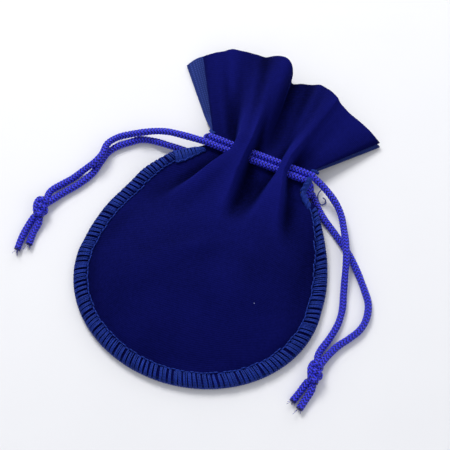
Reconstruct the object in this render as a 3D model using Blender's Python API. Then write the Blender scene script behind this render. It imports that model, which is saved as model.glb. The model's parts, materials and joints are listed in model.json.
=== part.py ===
"""Drawstring gift pouch of velvet, lying on its back with its neck drawn in.

Frame, in metres: +Z is up off the table, +Y runs from the rounded bottom to the mouth, +X is right.
The origin is on the flat underside, under the middle of the pouch's widest line.

Places at the neck are given in neck coordinates: "along" the drawn neck, to the right, and
"across" it, towards the mouth. The neck line is turned a little from the X axis.
"""

import math

import bmesh
import bpy
from mathutils import Matrix, Vector

MM = 0.001

# ---- Cloth ----
CLOTH = 0.8 * MM  # thickness of one layer of velvet
GAP = 0.3 * MM  # clearance kept between pieces that touch
BODY_HALF_WIDTH = 44.5 * MM  # at the widest line, over the seam
BODY_BELOW = 38.5 * MM  # from the widest line down to the rounded bottom
NECK_UP = 51.4 * MM  # from the widest line up to the neck
DOME_HEIGHT = 13.0 * MM  # top of the front panel over the table
MOUTH_LENGTH = 37.0 * MM  # from the neck to the mouth's edge, at its middle

# ---- Drawstrings ----
CORD_DIAMETER = 2.5 * MM
CORD_PITCH = CORD_DIAMETER + GAP  # between two cords that lie side by side
FRONT_ACROSS = {"left": -0.5 * CORD_PITCH, "right": 0.5 * CORD_PITCH}

# ---- Seam ----
SEAM_WIDTH = 4.4 * MM  # how far the overlocking reaches in from the edge
SEAM_THREAD = 0.3 * MM  # thickness of the thread layer
SEAM_GAP = 0.5 * MM  # clearance between the thread layer and the panels inside it
SEAM_HEIGHT = 2 * SEAM_THREAD + 2 * SEAM_GAP + 2 * CLOTH + GAP
SEAM_END_ACROSS = -8.2 * MM  # the overlocking stops this far below the neck line
NEEDLE_THREAD = 0.5 * MM

# ---- Neck ----
NECK_X = 6.5 * MM
NECK_TURN = math.radians(-6.4)
NECK_HALF_WIDTH = 19.6 * MM
PASSAGE_HEIGHT = 4.9 * MM  # free height over the cords inside the first fold
SECOND_FOLD_HEIGHT = 3.0 * MM  # free height over the cords inside the second fold
FLANK = 1.5 * MM  # plan width of a fold's side
FOLDS = ((-11.1 * MM, -1.9 * MM), (7.5 * MM, 13.5 * MM))  # along the neck, from and to
SPLIT_ACROSS = 3.75 * MM  # where the mouth's front lip bends up
SPLIT_GAP = 0.6 * MM
FOLD_REACH = 25.0 * MM  # how far the neck's folds run down into the body
FLAT_EDGE = 6.0 * MM  # the panels stay flat this far in from their edges
EDGE_STEPS = (0.0, 0.25, 0.6)  # where the flat edge has its columns of points

# ---- Heights at the neck, one layer on another ----
CORD_RADIUS = CORD_DIAMETER / 2
BACK_CORD_Z = CLOTH + GAP + CORD_RADIUS + 0.05 * MM
BACK_ARCH_Z = BACK_CORD_Z + CORD_RADIUS + GAP + 0.1 * MM  # underside of the back panel over the cords
FRONT_FLOOR_Z = BACK_ARCH_Z + 2 * CLOTH + GAP  # top of the front panel in a valley
FRONT_CORD_Z = FRONT_FLOOR_Z + GAP + CORD_RADIUS + 0.05 * MM
CORD_TOP_Z = FRONT_CORD_Z + CORD_RADIUS
FOLD_TOPS = (CORD_TOP_Z + PASSAGE_HEIGHT + CLOTH, CORD_TOP_Z + SECOND_FOLD_HEIGHT + CLOTH)
EDGE_INSET = SEAM_THREAD + GAP
BACK_EDGE_Z = SEAM_THREAD + SEAM_GAP  # underside of the back panel inside the seam
FRONT_EDGE_Z = BACK_EDGE_Z + 2 * CLOTH + GAP  # top of the front panel inside the seam

# ---- The drawstrings' runs, knots and tails ----
BACK_ACROSS = {"left": 1.3 * MM, "right": -6.2 * MM}  # the highest and the lowest back run, across
LEFT_PULL_BACK = -5.0 * MM  # across, where the left drawstring's back strand runs
RIGHT_PULL_BACK = -1.2 * MM  # across, where the right drawstring's back strand runs
TURN_ALONG = NECK_HALF_WIDTH - GAP
TURN_BULGE = 0.8
FIRST_JOIN = FOLDS[0][1] - 0.7 * MM  # hidden in the first fold, where the left strand meets the neck run
SECOND_JOIN = FOLDS[1][0] + 1.4 * MM  # hidden in the second fold, the same for the right strand
BACK_JOIN = {"left": FOLDS[0][1] - 2.0 * MM, "right": SECOND_JOIN}

# Free strands past the neck, in millimetres, to where each goes into its knot.
LEFT_FRONT_ROUTE = (
    (-26.6, 52.9, 6.6), (-32.6, 52.7, 5.0), (-37.9, 50.9, 4.3), (-42.7, 49.3, 2.9), (-46.6, 46.9, 2.6),
    (-48.9, 42.6, 4.0), (-49.3, 37.6, 4.4), (-50.7, 34.0, 4.1), (-53.5, 30.8, 2.6), (-56.8, 26.5, 1.4),
    (-60.0, 22.5, 1.6), (-62.6, 18.4, 2.3),
)
LEFT_BACK_ROUTE = (
    (-28.0, 49.6, 2.3), (-33.7, 50.0, 1.6), (-38.2, 49.3, 1.4), (-42.0, 46.8, 1.4), (-45.5, 44.0, 1.4),
    (-48.0, 40.6, 1.4), (-49.3, 36.2, 1.4), (-50.6, 30.6, 1.4), (-53.7, 25.0, 1.4), (-57.5, 20.3, 1.4),
    (-59.9, 16.9, 1.7),
)
RIGHT_FRONT_ROUTE = (
    (27.6, 50.3, 7.4), (32.6, 47.8, 6.2), (37.3, 44.6, 4.8), (41.0, 40.6, 3.8), (43.9, 34.7, 3.6),
    (46.2, 28.7, 4.2), (47.8, 23.4, 3.8), (49.0, 17.5, 2.6), (50.2, 11.6, 1.6), (51.4, 5.6, 1.4),
    (51.4, -0.3, 1.4), (50.0, -6.5, 1.5), (48.0, -13.0, 2.1),
)
RIGHT_BACK_ROUTE = (
    (28.5, 46.6, 1.4), (31.8, 42.2, 1.4), (35.6, 38.0, 1.4), (40.3, 34.0, 1.4), (45.4, 29.4, 1.4),
    (49.7, 25.0, 1.4), (53.3, 20.4, 1.4), (57.2, 14.7, 1.4), (59.6, 10.3, 1.4), (60.4, 5.1, 1.4),
    (59.4, 0.2, 1.4), (56.6, -4.2, 1.4), (53.5, -8.2, 1.4), (51.2, -12.8, 1.9),
)
KNOTS = {"left": ((-63.3, 10.9, 2.9), 8.0), "right": ((48.8, -20.4, 2.9), 8.0)}
KNOT_SIZE = (6.0 * MM, 10.0 * MM, 5.6 * MM)
LEFT_TAILS = {
    "left_tail_long": ((-65.2, 4.9, 1.8), (-65.9, 1.0, 1.4), (-66.1, -3.0, 1.4), (-66.0, -6.7, 1.4)),
    "left_tail_short": ((-62.3, 4.9, 1.8), (-62.9, 1.0, 1.4), (-62.7, -3.6, 1.4)),
}
RIGHT_TAILS = {
    "right_tail_short": ((46.4, -26.0, 1.8), (45.3, -29.0, 1.4), (44.1, -32.1, 1.4)),
    "right_tail_long": ((49.2, -26.6, 1.8), (48.2, -30.2, 1.4), (47.1, -34.1, 1.4)),
}

# ---- Colours: base colour, roughness ----
VELVET = ((0.006, 0.007, 0.110), 0.92)
THREAD = ((0.010, 0.028, 0.230), 0.62)
CORD = ((0.040, 0.030, 0.480), 0.50)

# The body's sides: share of the way up to the neck, then shares of the half width, left and right.
SIDES = ((0.0, 1.0, 1.0), (0.2, 0.973, 0.987), (0.4, 0.912, 0.93), (0.6, 0.80, 0.829), (0.73, 0.718, 0.745))

# The neck's sides, as how far out past the neck's ends, then how wide the flat edge is: across, out and
# flat at the left, out and flat at the right.
NECK_SIDES = (
    (SEAM_END_ACROSS, 10.0 * MM, FLAT_EDGE, 6.1 * MM, FLAT_EDGE),
    (-7.4 * MM, 8.7 * MM, 5.9 * MM, 2.6 * MM, 3.5 * MM),
    (-6.4 * MM, 7.2 * MM, 5.7 * MM, 0.4 * MM, 3.2 * MM),
    (-5.0 * MM, 5.3 * MM, 5.5 * MM, 0.0, 3.4 * MM),
    (-3.0 * MM, 2.8 * MM, 5.4 * MM, 0.0, 4.5 * MM),
    (-1.4 * MM, 1.0 * MM, 5.6 * MM, 0.0, 5.6 * MM),
    (0.1 * MM, 0.0, FLAT_EDGE, 0.0, FLAT_EDGE),
    (1.8 * MM, 0.0, FLAT_EDGE, 0.0, FLAT_EDGE),
)

# The mouth's edges, as stops: share of the width, x, y past the neck as a share of MOUTH_LENGTH, height.
FRONT_MOUTH = (
    (0.00, -26.5, 1.01, 4.0), (0.19, -15.6, 1.11, 9.0), (0.31, -4.5, 1.15, 7.0), (0.40, 1.5, 1.165, 10.0),
    (0.47, 7.1, 1.11, 11.0), (0.50, 8.8, 0.985, 5.0), (0.57, 14.1, 0.98, 6.0), (0.66, 20.8, 0.98, 8.5),
    (0.72, 26.1, 0.93, 10.0), (0.78, 30.5, 0.855, 8.0), (0.83, 32.9, 0.80, 5.5), (0.90, 38.8, 0.78, 4.0),
    (0.96, 44.2, 0.71, 3.6), (1.00, 47.3, 0.59, 3.2),
)
BACK_MOUTH = (
    (0.00, -32.1, 0.935, 0.0), (0.12, -24.0, 1.0, 0.0), (0.30, -12.0, 1.04, 0.0), (0.50, 4.0, 1.0, 0.0),
    (0.66, 20.0, 0.95, 0.0), (0.80, 32.0, 0.82, 0.0), (0.93, 43.5, 0.69, 0.0), (1.00, 48.0, 0.545, 0.0),
)


def smooth(share):
    share = min(1.0, max(0.0, share))
    return share * share * (3 - 2 * share)


def mix(start, end, share):
    return start + (end - start) * share


def stops_value(stops, share):
    """The row of values at a share of the way through stops, each (share, values...)."""
    for first, second in zip(stops, stops[1:]):
        if share <= second[0]:
            part = (share - first[0]) / (second[0] - first[0])
            return [mix(p, q, part) for p, q in zip(first[1:], second[1:])]
    return list(stops[-1][1:])


def neck_point(along, across, height=0.0):
    """A point given in neck coordinates, in the part's frame."""
    cos, sin = math.cos(NECK_TURN), math.sin(NECK_TURN)
    return Vector((NECK_X + along * cos - across * sin, NECK_UP + along * sin + across * cos, height))


def neck_coordinates(point):
    """Along and across, for a point in the part's frame."""
    cos, sin = math.cos(NECK_TURN), math.sin(NECK_TURN)
    dx, dy = point[0] - NECK_X, point[1] - NECK_UP
    return dx * cos + dy * sin, dy * cos - dx * sin


def make_object(name, mesh, finish):
    """Links a mesh as an object with a material of its own."""
    colour, roughness = finish
    material = bpy.data.materials.new(name)
    material.use_nodes = True
    shader = material.node_tree.nodes["Principled BSDF"]
    shader.inputs["Base Color"].default_value = (*colour, 1.0)
    shader.inputs["Roughness"].default_value = roughness
    shader.inputs["Metallic"].default_value = 0.0
    piece = bpy.data.objects.new(name, mesh)
    piece.data.materials.append(material)
    bpy.context.scene.collection.objects.link(piece)
    return piece


def mesh_from(name, points, faces):
    """A mesh with its doubles merged and its faces turned the same way."""
    shape = bmesh.new()
    verts = [shape.verts.new(p) for p in points]
    for face in faces:
        shape.faces.new([verts[i] for i in face])
    bmesh.ops.remove_doubles(shape, verts=shape.verts, dist=0.01 * MM)
    bmesh.ops.dissolve_degenerate(shape, edges=shape.edges, dist=0.005 * MM)
    bmesh.ops.recalc_face_normals(shape, faces=shape.faces)
    mesh = bpy.data.meshes.new(name)
    shape.to_mesh(mesh)
    shape.free()
    return mesh


# ---- The panels' shape ----


def body_rows():
    """Left and right ends of the rows from the widest line up to the neck, each with its flat edge's width."""
    rows = []
    for share, left, right in SIDES:
        y = share * NECK_UP
        ends = Vector((-left * BODY_HALF_WIDTH, y, 0)), Vector((right * BODY_HALF_WIDTH, y, 0))
        rows.append((*ends, FLAT_EDGE, FLAT_EDGE))
    for across, left_out, left_flat, right_out, right_flat in NECK_SIDES:
        ends = neck_point(-NECK_HALF_WIDTH - left_out, across), neck_point(NECK_HALF_WIDTH + right_out, across)
        rows.append((*ends, left_flat, right_flat))
    return rows


def outline(step=12):
    """Points on the seam's outer edge, from its left end round the bottom to its right end."""
    rows = body_rows()[: len(SIDES) + 1]
    left = [row[0] for row in reversed(rows)]
    right = [row[1] for row in rows]
    bottom = []
    for i in range(1, 2 * step):
        angle = math.pi * (1 + i / (2 * step))
        bottom.append(Vector((BODY_HALF_WIDTH * math.cos(angle), BODY_BELOW * math.sin(angle), 0)))
    return left + bottom + right


OUTLINE = outline()


def columns():
    """Shares of the width between the flat edges where the panels have a column of points."""
    inner = 2 * (NECK_HALF_WIDTH - FLAT_EDGE)
    shares = [0.0, 1.0]
    for start, end in FOLDS:
        low, high = (start + 0.5 * inner) / inner, (end + 0.5 * inner) / inner
        flank = FLANK / inner
        shares += [low, low + flank / 2, low + flank, (low + high) / 2, high - flank, high - flank / 2, high]
    ends = sorted(shares)
    wide = [mix(p, q, 0.5) for p, q in zip(ends, ends[1:]) if q - p > 0.08]
    return sorted(set(ends + wide))


def fold_share(share, fold):
    """0 outside a fold and 1 on its top, for a share of the width between the flat edges."""
    inner = 2 * (NECK_HALF_WIDTH - FLAT_EDGE)
    along = (share - 0.5) * inner
    start, end = FOLDS[fold]
    return smooth((along - start) / FLANK) * smooth((end - along) / FLANK)


def row_points(row, edge_inset):
    """Plan points along one row, each with its share of the way between the flat edges."""
    left, right, left_flat, right_flat = row
    width = (right - left).length
    inner = width - left_flat - right_flat
    places = [(mix(edge_inset, left_flat, part), 0.0) for part in EDGE_STEPS]
    places += [(left_flat + share * inner, share) for share in columns()]
    places += [(width - mix(edge_inset, right_flat, part), 1.0) for part in reversed(EDGE_STEPS)]
    return [(left.lerp(right, d / width), share) for d, share in places]


def edge_distance(point, outline_points):
    """How far a point is, in plan, from the seam's outer edge."""
    nearest = math.inf
    for start, end in zip(outline_points, outline_points[1:]):
        span = end - start
        part = min(1.0, max(0.0, (point - start).dot(span) / span.length_squared))
        nearest = min(nearest, (point - start - span * part).length)
    return nearest


def neck_weight(across):
    """1 at the neck and 0 where its folds have faded into the body."""
    return smooth(1 + (across - SEAM_END_ACROSS) / FOLD_REACH)


def front_height(point, share):
    """Top of the front panel on the body."""
    edge = edge_distance(point, OUTLINE)
    rise = smooth(0.5 + 0.5 * (edge - FLAT_EDGE) / (0.75 * BODY_HALF_WIDTH)) * 2 - 1
    dome = FRONT_EDGE_Z + (DOME_HEIGHT - FRONT_EDGE_Z) * max(0.0, rise)
    tops = [FRONT_FLOOR_Z + (top - FRONT_FLOOR_Z) * fold_share(share, i) for i, top in enumerate(FOLD_TOPS)]
    return mix(dome, max(tops), neck_weight(neck_coordinates(point)[1]))


def back_height(point, share):
    """Underside of the back panel on the body."""
    edge = edge_distance(point, OUTLINE)
    flat = BACK_EDGE_Z * (1 - smooth((edge - FLAT_EDGE) / (4 * MM)))
    arch = BACK_ARCH_Z * (1 - max(fold_share(share, 0), fold_share(share, 1)))
    return mix(flat, arch, neck_weight(neck_coordinates(point)[1]))


def bottom_grid(height, edge_inset):
    """Rows of points from the rounded bottom's edge up to, but not on, the widest line."""
    widest = body_rows()[0]
    half, below = BODY_HALF_WIDTH - edge_inset, BODY_BELOW - edge_inset
    grid = []
    for level in (1.0, 0.93, 0.84, 0.65, 0.35):
        row = []
        for point, share in row_points(widest, edge_inset):
            y = -below * math.sqrt(max(0.0, 1 - (point.x / half) ** 2)) * level
            row.append(Vector((point.x, y, height(Vector((point.x, y, 0)), share))))
        grid.append(row)
    return grid


def body_grid(height, edge_inset):
    """Rows of points from the rounded bottom to the neck."""
    grid = bottom_grid(height, edge_inset)
    for row in body_rows():
        grid.append([Vector((p.x, p.y, height(p, share))) for p, share in row_points(row, edge_inset)])
    return grid


def mouth_row(stops, shares):
    """Points along a mouth's edge at those shares of its width."""
    row = []
    for share in shares:
        x, past, height = stops_value(stops, share)
        row.append(Vector((x * MM, NECK_UP + past * MOUTH_LENGTH, height * MM)))
    return row


def width_shares(row):
    """How far along a row each of its points is, from 0 to 1."""
    total = (row[-1] - row[0]).length
    return [(p - row[0]).length / total for p in row]


def lip_grid(first, stops, levels):
    """Rows from a row at the neck out to the mouth's edge."""
    plan = [Vector((p.x, p.y, 0)) for p in first]
    edge = mouth_row(stops, width_shares(plan))
    return [[p.lerp(q, level) for p, q in zip(first, edge)] for level in levels]


def neck_row(across, height):
    """A row straight across the neck."""
    row = neck_point(-NECK_HALF_WIDTH, across), neck_point(NECK_HALF_WIDTH, across), FLAT_EDGE, FLAT_EDGE
    return [Vector((p.x, p.y, height(p, share))) for p, share in row_points(row, 0.0)]


def sheet(name, grid, upwards):
    """A cloth panel: the grid is one face, and the cloth's thickness goes up or down from it."""
    count = len(grid[0])
    points = [p for row in grid for p in row]
    faces = []
    for r in range(len(grid) - 1):
        for c in range(count - 1):
            a = r * count + c
            faces.append((a, a + 1, a + count + 1, a + count))
    mesh = mesh_from(name, points, faces)
    if mesh.polygons[len(mesh.polygons) // 2].normal.z < 0:
        mesh.flip_normals()
    piece = make_object(name, mesh, VELVET)
    solid = piece.modifiers.new("thickness", "SOLIDIFY")
    solid.thickness = CLOTH
    solid.offset = 1.0 if upwards else -1.0
    return piece


def cord_slot(name, across_from, across_to, height):
    """A rounded bar, longer than the neck, that cuts the slits which the cords pass through."""
    bpy.ops.mesh.primitive_cube_add(size=1)
    cutter = bpy.context.object
    cutter.name = name
    clear = CORD_RADIUS + GAP
    size = (4 * NECK_HALF_WIDTH, across_to - across_from + 2 * clear, 2 * clear)
    cutter.data.transform(Matrix.Diagonal((*size, 1)))
    cutter.matrix_world = Matrix.Translation(
        neck_point(0, (across_from + across_to) / 2, height)
    ) @ Matrix.Rotation(NECK_TURN, 4, "Z")
    rounding = cutter.modifiers.new("rounding", "BEVEL")
    rounding.width = 0.8 * clear
    rounding.segments = 3
    cutter.hide_render = True
    cutter.display_type = "WIRE"
    return cutter


def cut(piece, cutter):
    slit = piece.modifiers.new("slits", "BOOLEAN")
    slit.operation = "DIFFERENCE"
    slit.solver = "MANIFOLD"
    slit.object = cutter


def build_panels():
    back_slot = cord_slot("back_slot", BACK_ACROSS["right"], BACK_ACROSS["left"], BACK_CORD_Z)
    front_slot = cord_slot("front_slot", FRONT_ACROSS["left"], FRONT_ACROSS["right"], FRONT_CORD_Z)

    front = body_grid(front_height, EDGE_INSET)
    front.append(neck_row(SPLIT_ACROSS - SPLIT_GAP / 2, front_height))
    cut(sheet("front_panel", front, upwards=False), front_slot)

    lip_start = neck_row(SPLIT_ACROSS + SPLIT_GAP / 2, front_height)
    lip = lip_grid(lip_start, FRONT_MOUTH, (0.0, 0.08, 0.2, 0.35, 0.5, 0.65, 0.82, 1.0))
    sheet("front_lip", lip, upwards=False)

    back = body_grid(back_height, EDGE_INSET)
    lip_start = neck_row(SPLIT_ACROSS, back_height)
    levels = (0.0, 0.1, 0.22, 0.36, 0.5, 0.66, 0.82, 1.0)
    back_lip = lip_grid(lip_start, BACK_MOUTH, levels)
    for row, level in zip(back_lip, levels):
        settle = 1 - smooth(level / 0.36)
        for point, start in zip(row, lip_start):
            point.z = start.z * settle
    cut(sheet("back_panel", back + back_lip, upwards=True), back_slot)


# ---- The seam ----


def smooth_path(route, spacing):
    """Points a fixed distance apart on the smooth curve through a route."""
    ends = [2 * route[0] - route[1], *route, 2 * route[-1] - route[-2]]
    fine = []
    for a, b, c, d in zip(ends, ends[1:], ends[2:], ends[3:]):
        for k in range(24):
            t = k / 24
            fine.append(0.5 * (2 * b + (c - a) * t + (2 * a - 5 * b + 4 * c - d) * t * t
                               + (3 * b - a - 3 * c + d) * t ** 3))
    fine.append(route[-1])
    total = sum((q - p).length for p, q in zip(fine, fine[1:]))
    count = max(2, round(total / spacing))
    points, travelled, wanted = [fine[0]], 0.0, total / count
    for p, q in zip(fine, fine[1:]):
        length = (q - p).length
        while travelled + length >= wanted - 1e-9 and len(points) < count:
            points.append(p.lerp(q, (wanted - travelled) / length))
            wanted += total / count
        travelled += length
    return points + [fine[-1]]


def seam_lift(point):
    return (FRONT_FLOOR_Z - FRONT_EDGE_Z) * neck_weight(neck_coordinates(point)[1])


def inward(path, i):
    """Unit vector in from the outline at one of its points."""
    along = path[min(i + 1, len(path) - 1)] - path[max(i - 1, 0)]
    return Vector((-along.y, along.x, 0)).normalized()


def build_seam():
    """The overlock threads, as a channel that wraps both panels' edges."""
    path = smooth_path(outline(), 4.2 * MM)
    thread, width, high = SEAM_THREAD, SEAM_WIDTH, SEAM_HEIGHT
    section = (
        (0.3 * MM, 0), (width, 0), (width, thread), (thread, thread), (thread, high - thread),
        (width, high - thread), (width, high), (0.3 * MM, high), (0, high - 0.4 * MM), (0, 0.4 * MM),
    )
    points, faces, count = [], [], len(section)
    for i, place in enumerate(path):
        for reach, height in section:
            spot = place + inward(path, i) * reach
            points.append(spot + Vector((0, 0, height + seam_lift(spot))))
    for i in range(len(path) - 1):
        for k in range(count):
            a, b = i * count + k, i * count + (k + 1) % count
            faces.append((a, b, b + count, a + count))
    faces.append(tuple(range(count)))
    faces.append(tuple(reversed(range(len(points) - count, len(points)))))
    make_object("overlock_seam", mesh_from("overlock_seam", points, faces), THREAD)

    line = [place + inward(path, i) * (width + GAP + NEEDLE_THREAD / 2) for i, place in enumerate(path)]
    for point in line:
        point.z = seam_lift(point) + FRONT_EDGE_Z + SEAM_GAP + NEEDLE_THREAD
    tube("needle_thread", line, NEEDLE_THREAD, THREAD, resolution=1)


# ---- Cords and threads ----


def tube(name, points, diameter, finish, resolution=2):
    """A round tube with filled caps along points."""
    curve = bpy.data.curves.new(name, "CURVE")
    curve.dimensions = "3D"
    curve.bevel_depth = diameter / 2
    curve.bevel_resolution = resolution
    curve.use_fill_caps = True
    spline = curve.splines.new("POLY")
    spline.points.add(len(points) - 1)
    for knot, point in zip(spline.points, points):
        knot.co = (*point, 1)
    return make_object(name, curve, finish)


def millimetres(points):
    return [Vector(p) * MM for p in points]


def turn(start, end, out):
    """Points on the half circle that a cord takes round the neck's edge, from its front run to its back run."""
    centre, arm = (start + end) / 2, (start - end) / 2
    side = (neck_point(1, 0) - neck_point(0, 0)).normalized() * (arm.length * TURN_BULGE * out)
    steps = 8
    return [centre + arm * math.cos(math.pi * k / steps) + side * math.sin(math.pi * k / steps)
            for k in range(steps + 1)]


def neck_run(name, side):
    """The part of a drawstring that the neck holds: its front run, the turn round the edge, its back run."""
    front, other = FRONT_ACROSS[side], (1 if side == "left" else -1)
    back_start = BACK_ACROSS["right"] if side == "left" else BACK_ACROSS["left"]
    back_end = LEFT_PULL_BACK if side == "left" else RIGHT_PULL_BACK
    join = FIRST_JOIN if side == "left" else SECOND_JOIN
    start = neck_point(join + other * GAP / 2, front, FRONT_CORD_Z)
    corner = neck_point(other * TURN_ALONG, front, FRONT_CORD_Z)
    under = neck_point(other * TURN_ALONG, back_start, BACK_CORD_Z)
    end = neck_point(BACK_JOIN[side] + other * GAP / 2, back_end, BACK_CORD_Z)
    points = smooth_path([start, start.lerp(corner, 0.5), corner], 6 * MM)[:-1]
    points += turn(corner, under, other)
    points += smooth_path([under, under.lerp(end, 0.5), end], 6 * MM)[1:]
    tube(name, points, CORD_DIAMETER, CORD)


def strand(name, side, layer, route):
    """A free strand: straight where it slides through the neck, then loose to its knot."""
    front = layer == "front"
    back = LEFT_PULL_BACK if side == "left" else RIGHT_PULL_BACK
    across = FRONT_ACROSS[side] if front else back
    height = FRONT_CORD_Z if front else BACK_CORD_Z
    out = -1 if side == "left" else 1
    join = (FIRST_JOIN if side == "left" else SECOND_JOIN) if front else BACK_JOIN[side]
    start = join + out * GAP / 2
    leave = out * (NECK_HALF_WIDTH + (2.0 * MM if front or side == "left" else 0.0))
    straight = [neck_point(mix(start, leave, k / 3), across, height) for k in range(4)]
    tube(name, smooth_path(straight + millimetres(route), 2.2 * CORD_DIAMETER), CORD_DIAMETER, CORD)


def knot(name, centre, lean):
    """The knot that ties a drawstring's two ends: one closed lump of its outer shape."""
    shape = bmesh.new()
    bmesh.ops.create_uvsphere(shape, u_segments=16, v_segments=10, radius=0.5)
    for vert in shape.verts:
        groove = 1 - 0.07 * math.cos(4 * math.atan2(vert.co.z, vert.co.x) + 9 * vert.co.y)
        vert.co = Vector((vert.co.x * groove * KNOT_SIZE[0], vert.co.y * KNOT_SIZE[1],
                          vert.co.z * groove * KNOT_SIZE[2]))
    placed = Matrix.Translation(Vector(centre) * MM) @ Matrix.Rotation(math.radians(lean), 4, "Z")
    bmesh.ops.transform(shape, matrix=placed, verts=shape.verts)
    mesh = bpy.data.meshes.new(name)
    shape.to_mesh(mesh)
    shape.free()
    make_object(name, mesh, CORD)


def build_drawstrings():
    neck_run("left_drawstring_neck_run", "left")
    neck_run("right_drawstring_neck_run", "right")
    strand("left_front_strand", "left", "front", LEFT_FRONT_ROUTE)
    strand("left_back_strand", "left", "back", LEFT_BACK_ROUTE)
    strand("right_front_strand", "right", "front", RIGHT_FRONT_ROUTE)
    strand("right_back_strand", "right", "back", RIGHT_BACK_ROUTE)
    for side, (centre, lean) in KNOTS.items():
        knot(side + "_knot", centre, lean)
    for name, route in {**LEFT_TAILS, **RIGHT_TAILS}.items():
        tube(name, smooth_path(millimetres(route), 2.2 * CORD_DIAMETER), CORD_DIAMETER, CORD)


def build_threads():
    """The thread chains at the seam's ends and the tacks beside the cord slots."""
    top = FRONT_FLOOR_Z
    chain = [neck_point(-27.6 * MM, -7.3 * MM, top + 1.5 * MM), neck_point(-25.2 * MM, -5.4 * MM, top + 1.5 * MM),
             neck_point(-22.9 * MM, -3.9 * MM, top + 1.5 * MM)]
    tube("left_seam_chain", smooth_path(chain, 1.6 * MM), 2.2 * MM, THREAD, resolution=1)
    chain = [neck_point(22.6 * MM, -7.6 * MM, top + 1.9 * MM), neck_point(23.2 * MM, -5.0 * MM, top + 2.6 * MM),
             neck_point(22.6 * MM, -2.6 * MM, CORD_TOP_Z + 1.3 * MM),
             neck_point(21.6 * MM, -1.2 * MM, CORD_TOP_Z + 1.5 * MM)]
    tube("right_seam_chain", smooth_path(chain, 1.6 * MM), 1.8 * MM, THREAD, resolution=1)
    tack = [neck_point(-22.0 * MM, 4.2 * MM, top), neck_point(-20.9 * MM, 3.9 * MM, top + 0.7 * MM)]
    tube("left_mouth_tack", tack, 1.6 * MM, THREAD, resolution=1)
    tack = [neck_point(21.2 * MM, 4.3 * MM, top - 0.5 * MM), neck_point(23.4 * MM, 4.9 * MM, top - 1.5 * MM)]
    tube("right_mouth_tack", tack, 1.6 * MM, THREAD, resolution=1)


def main():
    for old in list(bpy.data.objects):
        bpy.data.objects.remove(old)
    build_panels()
    build_seam()
    build_drawstrings()
    build_threads()


main()
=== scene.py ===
"""Drawstring gift pouch of velvet: the finished looks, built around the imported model.

The frame is the model's, in metres: +Z is up off the table, +Y runs from the rounded bottom to the mouth,
+X is right. Places at the neck are given "along" the drawn neck, to the right, and "across" it, towards
the mouth.
"""

import json
import logging
import math
from collections.abc import Callable
from dataclasses import dataclass, field
from enum import Enum

import bmesh
import bpy
import numpy as np
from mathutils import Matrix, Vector


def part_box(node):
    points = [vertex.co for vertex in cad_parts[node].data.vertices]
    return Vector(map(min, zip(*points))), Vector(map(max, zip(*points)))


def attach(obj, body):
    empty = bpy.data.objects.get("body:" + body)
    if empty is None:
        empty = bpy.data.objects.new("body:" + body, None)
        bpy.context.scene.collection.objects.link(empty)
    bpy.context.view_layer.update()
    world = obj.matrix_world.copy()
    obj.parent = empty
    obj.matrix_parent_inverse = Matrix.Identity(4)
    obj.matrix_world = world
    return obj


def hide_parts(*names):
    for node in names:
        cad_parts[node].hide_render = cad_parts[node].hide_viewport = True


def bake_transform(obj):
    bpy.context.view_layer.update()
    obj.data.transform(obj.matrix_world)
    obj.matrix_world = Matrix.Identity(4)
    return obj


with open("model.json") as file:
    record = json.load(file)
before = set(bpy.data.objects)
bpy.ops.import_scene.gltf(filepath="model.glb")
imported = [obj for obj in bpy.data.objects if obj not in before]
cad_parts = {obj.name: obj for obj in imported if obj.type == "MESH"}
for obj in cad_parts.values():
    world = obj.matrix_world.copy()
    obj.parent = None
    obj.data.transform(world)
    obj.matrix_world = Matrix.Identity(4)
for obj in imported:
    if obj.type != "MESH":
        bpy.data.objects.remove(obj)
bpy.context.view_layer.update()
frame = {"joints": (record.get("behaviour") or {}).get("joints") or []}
MM = 0.001
SLOT_ROUNDING = 0.85  # of the slots' half height
CURVE_STEPS = 40  # points read on each span of a smooth curve, before they are spaced out
LOG = logging.getLogger("gift_pouch")


class Side(Enum):
    """Which side of the pouch a drawstring is pulled from."""

    LEFT = -1
    RIGHT = 1


class Layer(Enum):
    """Which cloth of the pouch a piece belongs to."""

    FRONT = "front"
    BACK = "back"


# ---- Numbers along curves ----


def ease(share: np.ndarray) -> np.ndarray:
    """A share held between 0 and 1, and slowed at both ends."""
    share = np.clip(share, 0.0, 1.0)
    return share * share * (3 - 2 * share)


def mix(start: np.ndarray, end: np.ndarray, share: np.ndarray) -> np.ndarray:
    """A share of the way from start to end."""
    return start + (end - start) * share


def through(stops: list, places: np.ndarray) -> np.ndarray:
    """Reads a smooth curve through stops.

    Args:
        stops: rows of a place and its values, in rising order of place.
        places: where the curve is read.

    Returns:
        One row of values for each place.
    """
    rows = np.array(stops, float)
    at, values = rows[:, 0], rows[:, 1:]
    slopes = np.gradient(values, at, axis=0)
    i = np.clip(np.searchsorted(at, places, side="right") - 1, 0, len(at) - 2)
    span = (at[i + 1] - at[i])[:, None]
    t = np.clip((places - at[i]) / (at[i + 1] - at[i]), 0, 1)[:, None]
    return (values[i] * (1 + 2 * t) * (1 - t) ** 2 + slopes[i] * span * t * (1 - t) ** 2
            + values[i + 1] * t * t * (3 - 2 * t) + slopes[i + 1] * span * t * t * (t - 1))


def distances(path: np.ndarray) -> np.ndarray:
    """How far along a line of points each of them is."""
    return np.concatenate([[0], np.cumsum(np.linalg.norm(np.diff(path, axis=0), axis=1))])


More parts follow.
